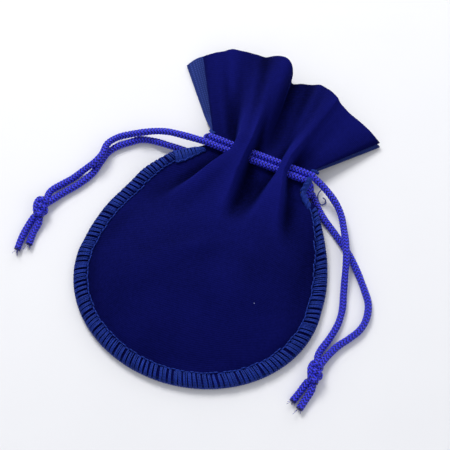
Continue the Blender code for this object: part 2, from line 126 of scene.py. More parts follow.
def smooth_path(route: list, spacing: float) -> np.ndarray:
    """Evenly spaced points on the smooth curve through a route.

    Args:
        route: the points that the curve passes through.
        spacing: about how far apart the points are.

    Returns:
        An array of points, three numbers each.
    """
    points = np.array([tuple(p) for p in route], float)
    ends = np.vstack([2 * points[0] - points[1], points, 2 * points[-1] - points[-2]])
    t = np.linspace(0, 1, CURVE_STEPS, endpoint=False)[:, None]
    fine = [0.5 * (2 * b + (c - a) * t + (2 * a - 5 * b + 4 * c - d) * t * t
                   + (3 * b - a - 3 * c + d) * t ** 3)
            for a, b, c, d in zip(ends, ends[1:], ends[2:], ends[3:])]
    fine = np.vstack([*fine, points[-1:]])
    travelled = distances(fine)
    wanted = np.linspace(0, travelled[-1], max(2, round(travelled[-1] / spacing)) + 1)
    return np.stack([np.interp(wanted, travelled, fine[:, k]) for k in range(3)], axis=1)


def path_length(path: np.ndarray) -> float:
    """How long a line of points is."""
    return float(np.linalg.norm(np.diff(path, axis=0), axis=1).sum())


# ---- Shader maths ----


class Value:
    """A number in a material, which adds Math nodes as it is used in expressions."""

    def __init__(self, graph: "Graph", socket: bpy.types.NodeSocket) -> None:
        """Wraps one output socket of the graph."""
        self.graph = graph
        self.socket = socket

    def math(self, operation: str, *others: object, first: bool = True) -> "Value":
        """Adds a Math node on this value and others, this value first unless told otherwise.

        Args:
            operation: the Math node's operation.
            others: the other inputs, as Values or numbers.
            first: whether this value comes before the others.

        Returns:
            What the node gives, as a Value.
        """
        terms = [self, *others] if first else [*others, self]
        made = self.graph.node("ShaderNodeMath", {"operation": operation}, dict(enumerate(terms)))
        return Value(self.graph, made.outputs[0])

    def __add__(self, other: object) -> "Value":
        """The sum."""
        return self.math("ADD", other)

    __radd__ = __add__

    def __mul__(self, other: object) -> "Value":
        """The product."""
        return self.math("MULTIPLY", other)

    __rmul__ = __mul__

    def __sub__(self, other: object) -> "Value":
        """This value less the other."""
        return self.math("SUBTRACT", other)

    def __rsub__(self, other: object) -> "Value":
        """The other less this value."""
        return self.math("SUBTRACT", other, first=False)

    def __pow__(self, other: object) -> "Value":
        """This value to a power."""
        return self.math("POWER", other)

    def wave(self) -> "Value":
        """A smooth wave between 0 and 1, once for each whole number."""
        return (self * math.tau).math("COSINE") * 0.5 + 0.5

    def held(self) -> "Value":
        """The value held between 0 and 1."""
        return self.math("MAXIMUM", 0.0).math("MINIMUM", 1.0)


class Graph:
    """One material's nodes, around its Principled shader."""

    def __init__(self, name: str) -> None:
        """Starts a material with a Principled shader of its own.

        Args:
            name: what the material is called.
        """
        self.material = bpy.data.materials.new(name)
        self.material.use_nodes = True
        self.tree = self.material.node_tree
        self.shader = self.tree.nodes["Principled BSDF"]

    def node(self, kind: str, settings: dict, inputs: dict) -> bpy.types.Node:
        """Adds one node.

        Args:
            kind: the node's type.
            settings: its properties, which are set first.
            inputs: the value, Value or socket of each input, by name or number.

        Returns:
            The new node.
        """
        made = self.tree.nodes.new(kind)
        for name, setting in settings.items():
            setattr(made, name, setting)
        for name, given in inputs.items():
            self.feed(made.inputs[name], given)
        return made

    def feed(self, socket: bpy.types.NodeSocket, given: object) -> None:
        """Links a Value or an output to a socket, or sets the socket's own value.

        Args:
            socket: the input.
            given: a Value, an output, or a number or a colour.
        """
        if isinstance(given, Value):
            given = given.socket
        if isinstance(given, bpy.types.NodeSocket):
            self.tree.links.new(given, socket)
        else:
            socket.default_value = given

    def places(self) -> bpy.types.NodeSocket:
        """The object's own coordinates, in metres."""
        return self.node("ShaderNodeTexCoord", {}, {}).outputs["Object"]

    def run(self, chart: str = "run") -> tuple:
        """The piece's own map: how far round or across, and how far along, as two Values.

        Args:
            chart: the map's name.

        Returns:
            The two Values.
        """
        spot = self.node("ShaderNodeUVMap", {"uv_map": chart}, {})
        parts = self.node("ShaderNodeSeparateXYZ", {}, {0: spot.outputs[0]})
        return Value(self, parts.outputs[0]), Value(self, parts.outputs[1])

    def noise(self, vector: bpy.types.NodeSocket, per_metre: float, detail: float = 3.0) -> Value:
        """Noise between 0 and 1 with that many patches to the metre."""
        made = self.node("ShaderNodeTexNoise", {}, {"Vector": vector, "Scale": per_metre, "Detail": detail})
        return Value(self, made.outputs[0])

    def blend(self, share: Value, low: tuple, high: object) -> bpy.types.NodeSocket:
        """A colour between two others.

        Args:
            share: 0 for the first colour, 1 for the second.
            low: the first colour.
            high: the second, as a colour or an output.

        Returns:
            The colour's output.
        """
        low = (*low, 1.0) if isinstance(low, tuple) else low
        high = (*high, 1.0) if isinstance(high, tuple) else high
        made = self.node("ShaderNodeMix", {"data_type": "RGBA"}, {0: share, 6: low, 7: high})
        return made.outputs[2]

    def finish(self, colour: object, roughness: object, height: Value, depth: float,
               constants: dict) -> bpy.types.Material:
        """Feeds the shader.

        Args:
            colour: the base colour's socket.
            roughness: a Value or a number.
            height: the fine relief, from 0 to 1.
            depth: how deep that relief is, in metres.
            constants: values set on the shader's own sockets.

        Returns:
            The material.
        """
        for name, given in constants.items():
            self.shader.inputs[name].default_value = given
        self.feed(self.shader.inputs["Base Color"], colour)
        self.feed(self.shader.inputs["Roughness"], roughness)
        relief = self.node("ShaderNodeBump", {}, {"Height": height, "Distance": depth, "Strength": 1.0})
        self.feed(self.shader.inputs["Normal"], relief.outputs["Normal"])
        return self.material


# ---- Finishes ----


@dataclass(frozen=True)
class VelvetFinish:
    """Knitted velvet: a short pile with faint rows, brushed patches, a soft sheen and specks of lint, with
    painted shade in fold valleys and painted light on fold ridges.
    """

    name: str = "velvet_pile"
    deep: tuple = (0.0008, 0.0011, 0.016)
    full: tuple = (0.0062, 0.0078, 0.132)
    lint: tuple = (0.22, 0.24, 0.42)
    tint: tuple = (0.05, 0.08, 1.0)
    sheen: float = 0.22
    row: float = 0.75 * MM
    lint_spacing: float = 21.0 * MM
    lint_size: float = 0.22 * MM
    relief: float = 0.10 * MM

    def material(self) -> bpy.types.Material:
        """Builds the material.

        Returns:
            The material.
        """
        graph = Graph(self.name)
        places = graph.places()
        _, along = graph.run()
        stroked, brushed = graph.noise(places, 24.0, 1.0), graph.noise(places, 75.0, 3.0)
        tufts, pile = graph.noise(places, 900.0, 2.0), graph.noise(places, 2600.0, 2.0)
        rows = (along * (1 / self.row) + brushed * 0.8).wave()
        # Painted shade and light: this map, made from the cloth's shape, darkens the valleys between folds
        # and lightens their ridges.
        painted_fold_shade, _ = graph.run("pile")
        share = (painted_fold_shade * 0.80 + stroked * 0.45 + brushed * 0.30 + tufts * 0.30 + pile * 0.30 + rows * 0.16
                 - 0.76).held()
        cells = graph.node("ShaderNodeTexVoronoi", {}, {"Vector": places, "Scale": 1 / self.lint_spacing})
        inside = self.lint_size / self.lint_spacing - Value(graph, cells.outputs["Distance"])
        speck = (inside * 200.0).held()
        colour = graph.blend(speck, graph.blend(share, self.deep, self.full), self.lint)
        height = rows * 0.4 + tufts * 0.5 + pile * 0.4
        return graph.finish(colour, brushed * 0.15 + 0.78, height, self.relief, {
            "Sheen Weight": self.sheen, "Sheen Roughness": 0.35, "Sheen Tint": (*self.tint, 1.0),
            "Specular IOR Level": 0.05, "Specular Tint": (*self.tint, 1.0),
        })


@dataclass(frozen=True)
class KnitBackFinish:
    """The velvet's wrong side: a flat, paler knit with plain ribs."""

    name: str = "velvet_wrong_side"
    deep: tuple = (0.010, 0.018, 0.10)
    full: tuple = (0.036, 0.062, 0.28)
    tint: tuple = (0.3, 0.4, 1.0)
    wale: float = 0.62 * MM
    course: float = 0.80 * MM
    relief: float = 0.08 * MM

    def material(self) -> bpy.types.Material:
        """Builds the material.

        Returns:
            The material.
        """
        graph = Graph(self.name)
        places = graph.places()
        across, along = graph.run()
        ribs = (across * (1 / self.wale)).wave()
        courses = (along * (1 / self.course) + ribs * 0.4).wave()
        fuzz = graph.noise(places, 1500.0, 2.0)
        height = ribs * courses + fuzz * 0.3
        share = (height * 0.9 + graph.noise(places, 90.0) * 0.3 - 0.12).held()
        return graph.finish(graph.blend(share, self.deep, self.full), 0.85, height, self.relief, {
            "Specular IOR Level": 0.10, "Specular Tint": (*self.tint, 1.0),
        })


@dataclass(frozen=True)
class ThreadFinish:
    """Twisted polyester thread: plies that slant round it, and a slight gloss."""

    name: str = "overlock_thread"
    deep: tuple = (0.0030, 0.0070, 0.070)
    full: tuple = (0.0140, 0.0400, 0.370)
    tint: tuple = (0.2, 0.35, 1.0)
    ply: float = 0.9 * MM
    relief: float = 0.05 * MM

    def material(self) -> bpy.types.Material:
        """Builds the material.

        Returns:
            The material.
        """
        graph = Graph(self.name)
        places = graph.places()
        around, along = graph.run()
        plies = (around * 2.0 + along * (1 / self.ply)).wave()
        shade = graph.noise(places, 420.0, 2.0)
        fibres = graph.noise(places, 5200.0, 1.0)
        share = (plies * 0.45 + shade * 0.7 + fibres * 0.2 - 0.22).held()
        return graph.finish(graph.blend(share, self.deep, self.full), fibres * 0.2 + 0.42,
                            plies * 0.8 + fibres * 0.3, self.relief, {
                                "Sheen Weight": 0.12, "Sheen Tint": (*self.tint, 1.0),
                                "Specular IOR Level": 0.35, "Specular Tint": (*self.tint, 1.0),
                            })


@dataclass(frozen=True)
class CordFinish:
    """Knitted polyester cord: satin ribs, with dark holes between its stitches."""

    name: str = "knitted_cord"
    hole: tuple = (0.0025, 0.0025, 0.035)
    rib: tuple = (0.040, 0.045, 0.800)
    tint: tuple = (0.35, 0.35, 1.0)
    wales: int = 5
    stitch: float = 1.25 * MM
    relief: float = 0.12 * MM

    def material(self) -> bpy.types.Material:
        """Builds the material.

        Returns:
            The material.
        """
        graph = Graph(self.name)
        places = graph.places()
        around, along = graph.run()
        lean = ((around * float(self.wales)).math("FRACT") - 0.5).math("ABSOLUTE")
        phase = along * (1 / self.stitch) + lean * 1.3
        leg = phase.wave()
        gap = (lean * 2.0) ** 4.0
        strands = (phase * 4.0).wave()
        fibres = graph.noise(places, 4200.0, 2.0)
        share = (leg * 1.15 + strands * 0.15 + fibres * 0.30 - gap * 0.45 - 0.22).held()
        height = leg * 0.6 + strands * 0.15 + fibres * 0.25 - gap * 0.3
        colour = graph.blend(share, self.hole, self.rib)
        return graph.finish(colour, fibres * 0.2 + 0.34, height, self.relief, {
            "Sheen Weight": 0.15, "Sheen Roughness": 0.3, "Sheen Tint": (*self.tint, 1.0),
            "Specular IOR Level": 0.5, "Specular Tint": (*self.tint, 1.0),
        })


@dataclass(frozen=True)
class TableFinish:
    """A plain pale table top."""

    name: str = "table_top"
    colour: tuple = (0.78, 0.78, 0.80)

    def material(self) -> bpy.types.Material:
        """Builds the material.

        Returns:
            The material.
        """
        graph = Graph(self.name)
        grain = graph.noise(graph.places(), 40.0)
        darker = tuple(0.97 * part for part in self.colour)
        return graph.finish(graph.blend(grain, darker, self.colour), 0.7, grain, 0.02 * MM, {})


# ---- Meshes ----


def new_object(name: str, mesh: bpy.types.Mesh, materials: list) -> bpy.types.Object:
    """Links a mesh as an object, shaded smooth, with its materials.

    Args:
        name: the object's name.
        mesh: its mesh.
        materials: its materials, in the order of their slots.

    Returns:
        The object.
    """
    piece = bpy.data.objects.new(name, mesh)
    for material in materials:
        mesh.materials.append(material)
    mesh.shade_smooth()
    bpy.context.scene.collection.objects.link(piece)
    return piece


def apply_modifiers(piece: bpy.types.Object) -> None:
    """Applies every modifier, in order.

    Args:
        piece: the object.
    """
    bpy.ops.object.select_all(action="DESELECT")
    piece.select_set(True)
    bpy.context.view_layer.objects.active = piece
    for modifier in list(piece.modifiers):
        bpy.ops.object.modifier_apply(modifier=modifier.name)


def soften(values: np.ndarray, reach: int) -> np.ndarray:
    """Rows of values, each smoothed over its neighbours within a reach of columns.

    Args:
        values: the rows.
        reach: how far the smoothing reaches, in columns.

    Returns:
        Rows of the same shape.
    """
    offsets = np.arange(-2 * reach, 2 * reach + 1)
    bell = np.exp(-(offsets / reach) ** 2)
    around = ((0, 0), (2 * reach, 2 * reach))
    padded = np.pad(np.atleast_2d(values), around, mode="reflect", reflect_type="odd")
    return np.array([np.convolve(row, bell / bell.sum(), mode="valid") for row in padded])


def grid_mesh(name: str, points: np.ndarray, charts: dict) -> bpy.types.Mesh:
    """A sheet from a grid of points.

    Args:
        name: the mesh's name.
        points: rows by columns by three numbers.
        charts: each map's name, and its rows by columns by two.

    Returns:
        The mesh, with its doubles merged and its faces up.
    """
    rows, columns = points.shape[:2]
    index = np.arange(rows * columns).reshape(rows, columns)
    corners = np.stack([index[:-1, :-1], index[:-1, 1:], index[1:, 1:], index[1:, :-1]], axis=-1)
    corners = corners.reshape(-1, 4)
    mesh = bpy.data.meshes.new(name)
    mesh.from_pydata(points.reshape(-1, 3).tolist(), [], corners.tolist())
    for title, chart in charts.items():
        layer = mesh.uv_layers.new(name=title)
        layer.data.foreach_set("uv", chart.reshape(-1, 2)[corners.ravel()].astype(np.float32).ravel())
    shape = bmesh.new()
    shape.from_mesh(mesh)
    bmesh.ops.remove_doubles(shape, verts=shape.verts, dist=0.004 * MM)
    bmesh.ops.dissolve_degenerate(shape, edges=shape.edges, dist=0.002 * MM)
    bmesh.ops.recalc_face_normals(shape, faces=shape.faces)
    if sum(face.normal.z for face in shape.faces) < 0:
        bmesh.ops.reverse_faces(shape, faces=shape.faces)
    shape.to_mesh(mesh)
    shape.free()
    return mesh


def ring_frames(path: np.ndarray) -> tuple:
    """Two directions square to a path at each of its points, turned as little as possible along it.

    Args:
        path: the points.

    Returns:
        The two directions, each with a row for every point.
    """
    along = np.gradient(path, axis=0)
    along /= np.linalg.norm(along, axis=1)[:, None]
    side = np.cross(along[0], (0.0, 0.0, 1.0))
    if np.linalg.norm(side) < 0.1:
        side = np.cross(along[0], (1.0, 0.0, 0.0))
    sides = []
    for direction in along:
        side = side - direction * side.dot(direction)
        side = side / np.linalg.norm(side)
        sides.append(side)
    first = np.array(sides)
    return first, np.cross(along, first)


def tube_arrays(path: np.ndarray, radii: np.ndarray) -> tuple:
    """The points, faces and map of a closed tube.

    Args:
        path: the tube's middle line.
        radii: the radius at each point of the path and each of the tube's sides.

    Returns:
        Points, quads of point numbers, each quad corner's place round and along the tube, and the end
        caps' triangles.
    """
    count, sides = radii.shape
    first, second = ring_frames(path)
    angles = np.arange(sides) / sides * math.tau
    rings = (path[:, None] + radii[..., None] * (first[:, None] * np.cos(angles)[None, :, None]
                                                 + second[:, None] * np.sin(angles)[None, :, None]))
    points = np.vstack([rings.reshape(-1, 3), path[:1], path[-1:]])
    index = np.arange(count * sides).reshape(count, sides)
    turned = np.roll(index, -1, axis=1)
    quads = np.stack([index[:-1], turned[:-1], turned[1:], index[1:]], axis=-1).reshape(-1, 4)
    travelled = distances(path)
    around = np.arange(sides) / sides
    low = np.broadcast_to(around, (count - 1, sides))
    start = np.broadcast_to(travelled[:-1, None], (count - 1, sides))
    end = np.broadcast_to(travelled[1:, None], (count - 1, sides))
    high = low + 1 / sides
    corners = (low, start), (high, start), (high, end), (low, end)
    chart = np.stack([np.stack(corner, -1) for corner in corners], axis=2).reshape(-1, 4, 2)
    caps = [(k, (k + 1) % sides, count * sides) for k in range(sides)]
    last = (count - 1) * sides
    caps += [(last + (k + 1) % sides, last + k, count * sides + 1) for k in range(sides)]
    return points, quads, chart, caps


def tubes_mesh(name: str, tubes: list) -> bpy.types.Mesh:
    """One mesh from several closed tubes, each a path and its radii.

    Args:
        name: the mesh's name.
        tubes: the tubes.

    Returns:
        The mesh, with each tube's own map of the way round and along it.
    """
    points, faces, chart, total = [], [], [], 0
    for path, radii in tubes:
        tube_points, quads, tube_chart, caps = tube_arrays(path, radii)
        points.append(tube_points)
        faces += [tuple(q) for q in (quads + total).tolist()]
        chart.append(tube_chart.reshape(-1, 2))
        faces += [tuple(k + total for k in reversed(cap)) for cap in caps]
        chart.append(np.zeros((3 * len(caps), 2)))
        total += len(tube_points)
    mesh = bpy.data.meshes.new(name)
    mesh.from_pydata(np.vstack(points).tolist(), [], faces)
    layer = mesh.uv_layers.new(name="run")
    layer.data.foreach_set("uv", np.vstack(chart).astype(np.float32).ravel())
    shape = bmesh.new()
    shape.from_mesh(mesh)
    bmesh.ops.recalc_face_normals(shape, faces=shape.faces)
    shape.to_mesh(mesh)
    shape.free()
    return mesh


def plain_tube(route: list, spacing: float, diameter: float, sides: int) -> tuple:
    """A round tube's path and radii along a route."""
    path = smooth_path(route, spacing)
    return path, np.full((len(path), sides), diameter / 2)


# ---- The neck ----


@dataclass(frozen=True)
class Neck:
    """The drawn neck's line and its layers, from the model's own mouth hinge."""

    x: float
    y: float
    turn: float
    half_width: float = 19.6 * MM
    split: float = 3.75 * MM  # across, where the mouth begins
    cloth: float = 0.8 * MM
    cord: float = 2.5 * MM
    gap: float = 0.3 * MM  # between pieces that touch
    cord_play: float = 0.05 * MM  # added to the gap under a cord
    arch_play: float = 0.1 * MM  # added to the gap over the back cords
    slack: float = 0.5 * MM  # between the seam's threads and the cloths
    thread: float = 0.3 * MM  # the seam's thread layer
    passage: float = 4.9 * MM  # free height over the cords in the first fold
    second_height: float = 3.0 * MM  # the same in the second fold
    folds: tuple = ((-11.1 * MM, -1.9 * MM), (7.5 * MM, 13.5 * MM))  # along, from and to
    seam_end: float = -8.2 * MM  # across, where the overlocking ends
    back_runs: tuple = (-6.2 * MM, 1.3 * MM)  # across, the lowest and the highest back cord

    @classmethod
    def from_frame(cls) -> "Neck":
        """Reads the neck's line from the joint that the mouth opens on.

        Returns:
            The neck, with the place and the turn of that line.
        """
        hinge = next(joint for joint in frame["joints"] if joint["name"] == "mouth_open")
        turn = math.atan2(hinge["axis"][1], hinge["axis"][0])
        x = hinge["pos_m"][0] + cls.split * math.sin(turn)
        y = hinge["pos_m"][1] - cls.split * math.cos(turn)
        return cls(x, y, turn)

    @property
    def back_cord(self) -> float:
        """Height of the back cords' middle line."""
        return self.cloth + self.gap + self.cord / 2 + self.cord_play

    @property
    def back_arch(self) -> float:
        """Underside of the back cloth over the cords."""
        return self.back_cord + self.cord / 2 + self.gap + self.arch_play

    @property
    def front_floor(self) -> float:
        """Top of the front cloth in a valley."""
        return self.back_arch + 2 * self.cloth + self.gap

    @property
    def front_cord(self) -> float:
        """Height of the front cords' middle line."""
        return self.front_floor + self.gap + self.cord / 2 + self.cord_play

    @property
    def pitch(self) -> float:
        """Between two cords that lie side by side."""
        return self.cord + self.gap

    @property
    def fold_tops(self) -> tuple:
        """Top of the front cloth on each fold."""
        cord_top = self.front_cord + self.cord / 2
        return cord_top + self.passage + self.cloth, cord_top + self.second_height + self.cloth

    @property
    def back_edge(self) -> float:
        """Underside of the back cloth inside the seam."""
        return self.thread + self.slack

    @property
    def front_edge(self) -> float:
        """Top of the front cloth inside the seam."""
        return self.back_edge + 2 * self.cloth + self.gap

    def point(self, along: float, across: float, height: float = 0.0) -> np.ndarray:
        """A point of the frame, from a place at the neck."""
        cos, sin = math.cos(self.turn), math.sin(self.turn)
        return np.array((self.x + along * cos - across * sin, self.y + along * sin + across * cos, height))

    def across(self, x: np.ndarray, y: np.ndarray) -> np.ndarray:
        """How far points are towards the mouth from the neck's line."""
        return (y - self.y) * math.cos(self.turn) - (x - self.x) * math.sin(self.turn)

    def along(self, x: np.ndarray, y: np.ndarray) -> np.ndarray:
        """How far points are to the right along the neck's line."""
        return (x - self.x) * math.cos(self.turn) + (y - self.y) * math.sin(self.turn)


# ---- The cloths ----


@dataclass
class Cloths:
    """The two velvet panels, from the rounded bottom through the gathered neck to the ruffled mouth."""

    neck: Neck
    flat_edge: float = 6.0 * MM  # flat this far in from the seam's outer edge
    rim_inset: float = 0.6 * MM  # from the seam's outer edge to the cloths' own
    dome_height: float = 13.0 * MM
    dome_start: float = 1.2 * MM  # how far outside the flat edge the dome begins
    dome_spread: float = 0.75  # share of the half width over which it rises
    fold_reach: float = 25.0 * MM  # how far the neck's folds run down into the body
    fold_start: float = -3.0 * MM  # across, where they begin to fan out
    fold_growth: float = 0.05  # how far each side moves out, for each length below that
    flank_growth: float = 0.14  # how much wider each flank gets, for each length below that
    flank: float = 2.3 * MM  # plan width of a front fold's side at the neck
    back_flank: float = 1.6 * MM
    back_drop: float = 4.0 * MM  # the way in which the back cloth comes down to the table
    smooth_rim: float = 4.4 * MM  # no crease or swell this far in from the seam's outer edge
    rim_fade: float = 5.0 * MM  # the way over which they grow from there
    lip_bend: tuple = (3.2 * MM, 13.0 * MM)  # across, from and to, where the front cloth would bend as it opens; these places are worked out but nothing bends the cloth
    flat_size: tuple = (90.0 * MM, 128.0 * MM)  # each panel's width and length, let out flat
    flat_area: float = 0.0098  # the same in square metres
    mouth_length: float = 37.0 * MM
    columns: int = 210
    outline_points: int = 40
    bottom_rows: int = 34
    belly_rows: int = 50
    neck_rows: int = 34
    lip_rows: int = 66
    fold_shade_reach: int = 22  # columns over which the cloth is softened to find its ridges and valleys, for the painted light and shade
    # how far a fold stands out for full painted light on its ridge, or full painted shade in its valley
    fold_shade_depth: float = 1.3 * MM
    corner: tuple = (0.86, 0.14)  # shares of the mouth's width: where its right corner begins, its width
    drop: float = 0.85  # power of the way out by which the mouth's height goes from neck to edge
    back_waves: tuple = (0.25 * MM, 31.0)  # the back lip's unevenness: height, waves over the width
    # Shares of the flat edge where it has its columns of points.
    edge_steps: tuple = (0.0, 0.1, 0.22, 0.36, 0.52, 0.7, 0.86)
    # The body's sides: share of the way up to the neck, shares of the half width at left and right.
    sides: tuple = ((0.0, 1.0, 1.0), (0.2, 0.973, 0.987), (0.4, 0.912, 0.93), (0.6, 0.80, 0.829),
                    (0.73, 0.718, 0.745))
    # The neck's sides in millimetres: across, out past the neck and flat at the left, the same at the right.
    neck_sides: tuple = ((-8.2, 10.0, 6.0, 6.1, 6.0), (-7.4, 8.7, 5.9, 2.6, 3.5), (-6.4, 7.2, 5.7, 0.4, 3.2),
                         (-5.0, 5.3, 5.5, 0.0, 3.4), (-3.0, 2.8, 5.4, 0.0, 4.5), (-1.4, 1.0, 5.6, 0.0, 5.6),
                         (0.1, 0.0, 6.0, 0.0, 6.0), (1.8, 0.0, 6.0, 0.0, 6.0))
    # The mouth's edges: share of the width, x, y past the neck as a share of mouth_length, height.
    front_mouth: tuple = (
        (0.00, -26.8, 1.024, 4.0), (0.05, -23.3, 1.068, 6.0), (0.11, -18.9, 1.103, 8.0),
        (0.18, -14.1, 1.138, 8.5), (0.25, -8.8, 1.154, 8.0), (0.31, -4.4, 1.157, 7.0),
        (0.36, -1.1, 1.173, 8.5), (0.40, 2.4, 1.173, 10.0), (0.44, 5.4, 1.143, 11.0),
        (0.475, 7.7, 1.097, 10.5), (0.51, 8.8, 1.024, 8.0), (0.54, 8.9, 0.978, 5.0),
        (0.59, 12.8, 1.000, 5.0), (0.65, 17.6, 1.016, 6.0), (0.71, 21.7, 0.984, 8.0),
        (0.76, 25.3, 0.927, 9.5), (0.80, 27.8, 0.876, 9.5), (0.825, 28.6, 0.859, 8.0),
        (0.88, 33.4, 0.797, 6.0), (0.935, 39.7, 0.722, 5.0), (0.975, 44.5, 0.670, 3.6),
        (1.00, 47.1, 0.611, 2.4))
    back_mouth: tuple = (
        (0.00, -32.1, 0.924, 0.0), (0.06, -30.0, 1.019, 0.0), (0.12, -27.6, 1.089, 0.0),
        (0.30, -12.0, 1.100, 0.0), (0.50, 4.0, 1.010, 0.0), (0.66, 20.0, 0.950, 0.0),
        (0.80, 32.0, 0.790, 0.0), (0.93, 43.5, 0.650, 0.2), (1.00, 47.4, 0.585, 0.6))
    # The mouth's valleys: share of the width, drift and width as shares of it too, depth in millimetres.
    mouth_valleys: tuple = ((0.18, -0.07, 0.035, 2.0), (0.575, -0.03, 0.055, 2.0))
    # How far each fold's two sides drift along the neck for each length below it.
    fold_drifts: tuple = ((-0.62, 0.12), (-0.15, 0.35))
    # The creases in millimetres: start along and across the neck, end in plan, width, greatest depth.
    crease_stops: tuple = (
        (-13.5, -5.0, (-23.0, 28.0), 1.9, 1.5), (2.8, -7.0, (0.5, 16.0), 2.0, 2.2),
        (17.2, -5.0, (24.0, 22.0), 1.7, 2.4), (-9.0, -13.0, (-18.0, 13.0), 2.2, 0.5),
        (9.0, -15.0, (11.0, 10.0), 2.0, 0.4), (-5.0, -43.0, (-37.0, -10.0), 4.5, -0.7))
    half_width: float = field(init=False)
    below: float = field(init=False)
    edge: np.ndarray = field(init=False)

    def __post_init__(self) -> None:
        """Takes the body's width and depth from the model's seam, and draws the outline."""
        low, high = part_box("overlock_seam")
        self.half_width = (high.x - low.x) / 2
        self.below = -low.y
        self.edge = self.outline()

    def rows(self) -> np.ndarray:
        """The body's rows: place, left end's x and y, right end's x and y, left and right flat edges.

        Returns:
            One line for each row, from the widest one up to the neck's line.
        """
        made = []
        for share, left, right in self.sides:
            y = share * self.neck.y
            ends = -left * self.half_width, y, right * self.half_width, y
            made.append((*ends, self.flat_edge, self.flat_edge))
        for across, left_out, left_flat, right_out, right_flat in np.array(self.neck_sides) * MM:
            left = self.neck.point(-self.neck.half_width - left_out, across)
            right = self.neck.point(self.neck.half_width + right_out, across)
            made.append((left[0], left[1], right[0], right[1], left_flat, right_flat))
        made = np.array(made)
        middle = (made[:, :2] + made[:, 2:4]) / 2
        return np.column_stack([distances(middle), made])

    def outline(self) -> np.ndarray:
        """Points on the seam's outer edge, from its left end round the bottom to its right end.

        Returns:
            The points, as x and y.
        """
        rows = self.rows()[: len(self.sides) + 1]
        angles = np.linspace(math.pi, math.tau, 61)[1:-1]
        bottom = np.column_stack([self.half_width * np.cos(angles), self.below * np.sin(angles)])
        places = np.linspace(rows[0, 0], rows[-1, 0], self.outline_points)
        ends = through(rows, places)
        return np.vstack([ends[::-1, 0:2], bottom, ends[:, 2:4]])

    def edge_distance(self, x: np.ndarray, y: np.ndarray) -> np.ndarray:
        """How far points are, in plan, from the seam's outer edge.

        Args:
            x: the points' places across.
            y: their places towards the mouth.

        Returns:
            The distances.
        """
        nearest = np.full(x.shape, np.inf)
        for start, end in zip(self.edge, self.edge[1:]):
            span = end - start
            part = np.clip(((x - start[0]) * span[0] + (y - start[1]) * span[1]) / span.dot(span), 0, 1)
            away = np.hypot(x - start[0] - span[0] * part, y - start[1] - span[1] * part)
            nearest = np.minimum(nearest, away)
        return nearest

    def neck_weight(self, x: np.ndarray, y: np.ndarray) -> np.ndarray:
        """1 at the neck and 0 where its folds have faded into the body."""
        return ease(1 + (self.neck.across(x, y) - self.neck.seam_end) / self.fold_reach)

    def back_fold(self, share: np.ndarray, number: int) -> np.ndarray:
        """0 outside a fold of the back cloth and 1 in its middle, by the share between the flat edges.

        Args:
            share: the points' shares between the flat edges.
            number: which fold, 0 or 1.

        Returns:
            The fold's weight at each point.
        """
        along = (share - 0.5) * 2 * (self.neck.half_width - self.flat_edge)
        start, end = self.neck.folds[number]
        return ease((along - start) / self.back_flank) * ease((end - along) / self.back_flank)

    def front_fold(self, x: np.ndarray, y: np.ndarray, number: int) -> np.ndarray:
        """0 outside a fold of the front cloth and 1 on its top; the folds fan out below the neck.

        Args:
            x: the points' places across.
            y: their places towards the mouth.
            number: which fold, 0 or 1.

        Returns:
            The fold's weight at each point.
        """
        along = self.neck.along(x, y)
        below = np.maximum(0, self.fold_start - self.neck.across(x, y))
        (start, end), (start_drift, end_drift) = self.neck.folds[number], self.fold_drifts[number]
        flank = self.flank + self.flank_growth * below
        spread = self.fold_growth * below
        return (ease((along - start - start_drift * below + spread) / flank)
                * ease((end + end_drift * below + spread - along) / flank))

    def plan(self) -> tuple:
        """The body's grid in plan.

        Returns:
            Grids of x, of y, of the share between the flat edges, and of the share of the whole width.
        """
        inner = np.linspace(0, 1, self.columns)
        steps = np.array(self.edge_steps)
        rows = self.rows()
        seam_end = rows[len(self.sides), 0]
        places = np.concatenate([np.linspace(rows[0, 0], seam_end, self.belly_rows, endpoint=False),
                                 np.linspace(seam_end, rows[-1, 0], self.neck_rows)])
        sides = through(rows, places)
        left, right, flats = sides[:, None, 0:2], sides[:, None, 2:4], sides[:, 4:6]
        width = np.linalg.norm(right - left, axis=2)
        from_left = self.rim_inset + (flats[:, :1] - self.rim_inset) * steps
        middle = flats[:, :1] + (width - flats.sum(axis=1, keepdims=True)) * inner
        from_right = width - (self.rim_inset + (flats[:, 1:] - self.rim_inset) * steps[::-1])
        distance = np.hstack([from_left, middle, from_right])
        share = np.concatenate([np.zeros(len(steps)), inner, np.ones(len(steps))])
        spots = left + (right - left) * (distance / width)[..., None]
        widest = spots[0, :, 0]
        half, below = self.half_width - self.rim_inset, self.below - self.rim_inset
        levels = np.sin(np.linspace(math.pi / 2, 0, self.bottom_rows, endpoint=False))
        bottom_y = -below * np.sqrt(np.clip(1 - (widest / half) ** 2, 0, 1))
        bottom = np.stack([np.broadcast_to(widest, (len(levels), len(widest))),
                           levels[:, None] * bottom_y[None]], axis=-1)
        grid = np.vstack([bottom, spots])
        shares = np.broadcast_to(share, grid.shape[:2])
        across = np.broadcast_to((widest - widest[0]) / (widest[-1] - widest[0]), grid.shape[:2])
        return grid[..., 0], grid[..., 1], shares, across

    def creases(self, x: np.ndarray, y: np.ndarray) -> np.ndarray:
        """How deep the creases that run from the neck into the body are.

        Args:
            x: the points' places across.
            y: their places towards the mouth.

        Returns:
            The depths.
        """
        depth = np.zeros(x.shape)
        for start, end, width, most in self.crease_lines():
            span = end - start
            part = ((x - start[0]) * span[0] + (y - start[1]) * span[1]) / span.dot(span)
            off = (x - start[0]) * span[1] - (y - start[1]) * span[0]
            off = off / np.linalg.norm(span)
            spread = width * (0.7 + 0.9 * np.clip(part, 0, 1))
            fade = ease(1 - part) * ease((part + 0.25) / 0.25)
            depth += most * fade * np.exp(-(off / spread) ** 2)
        return depth

    def crease_lines(self) -> list:
        """The creases: start and end in plan, width and greatest depth."""
        return [(self.neck.point(along * MM, across * MM)[:2], np.array(end) * MM, width * MM, deep * MM)
                for along, across, end, width, deep in self.crease_stops]

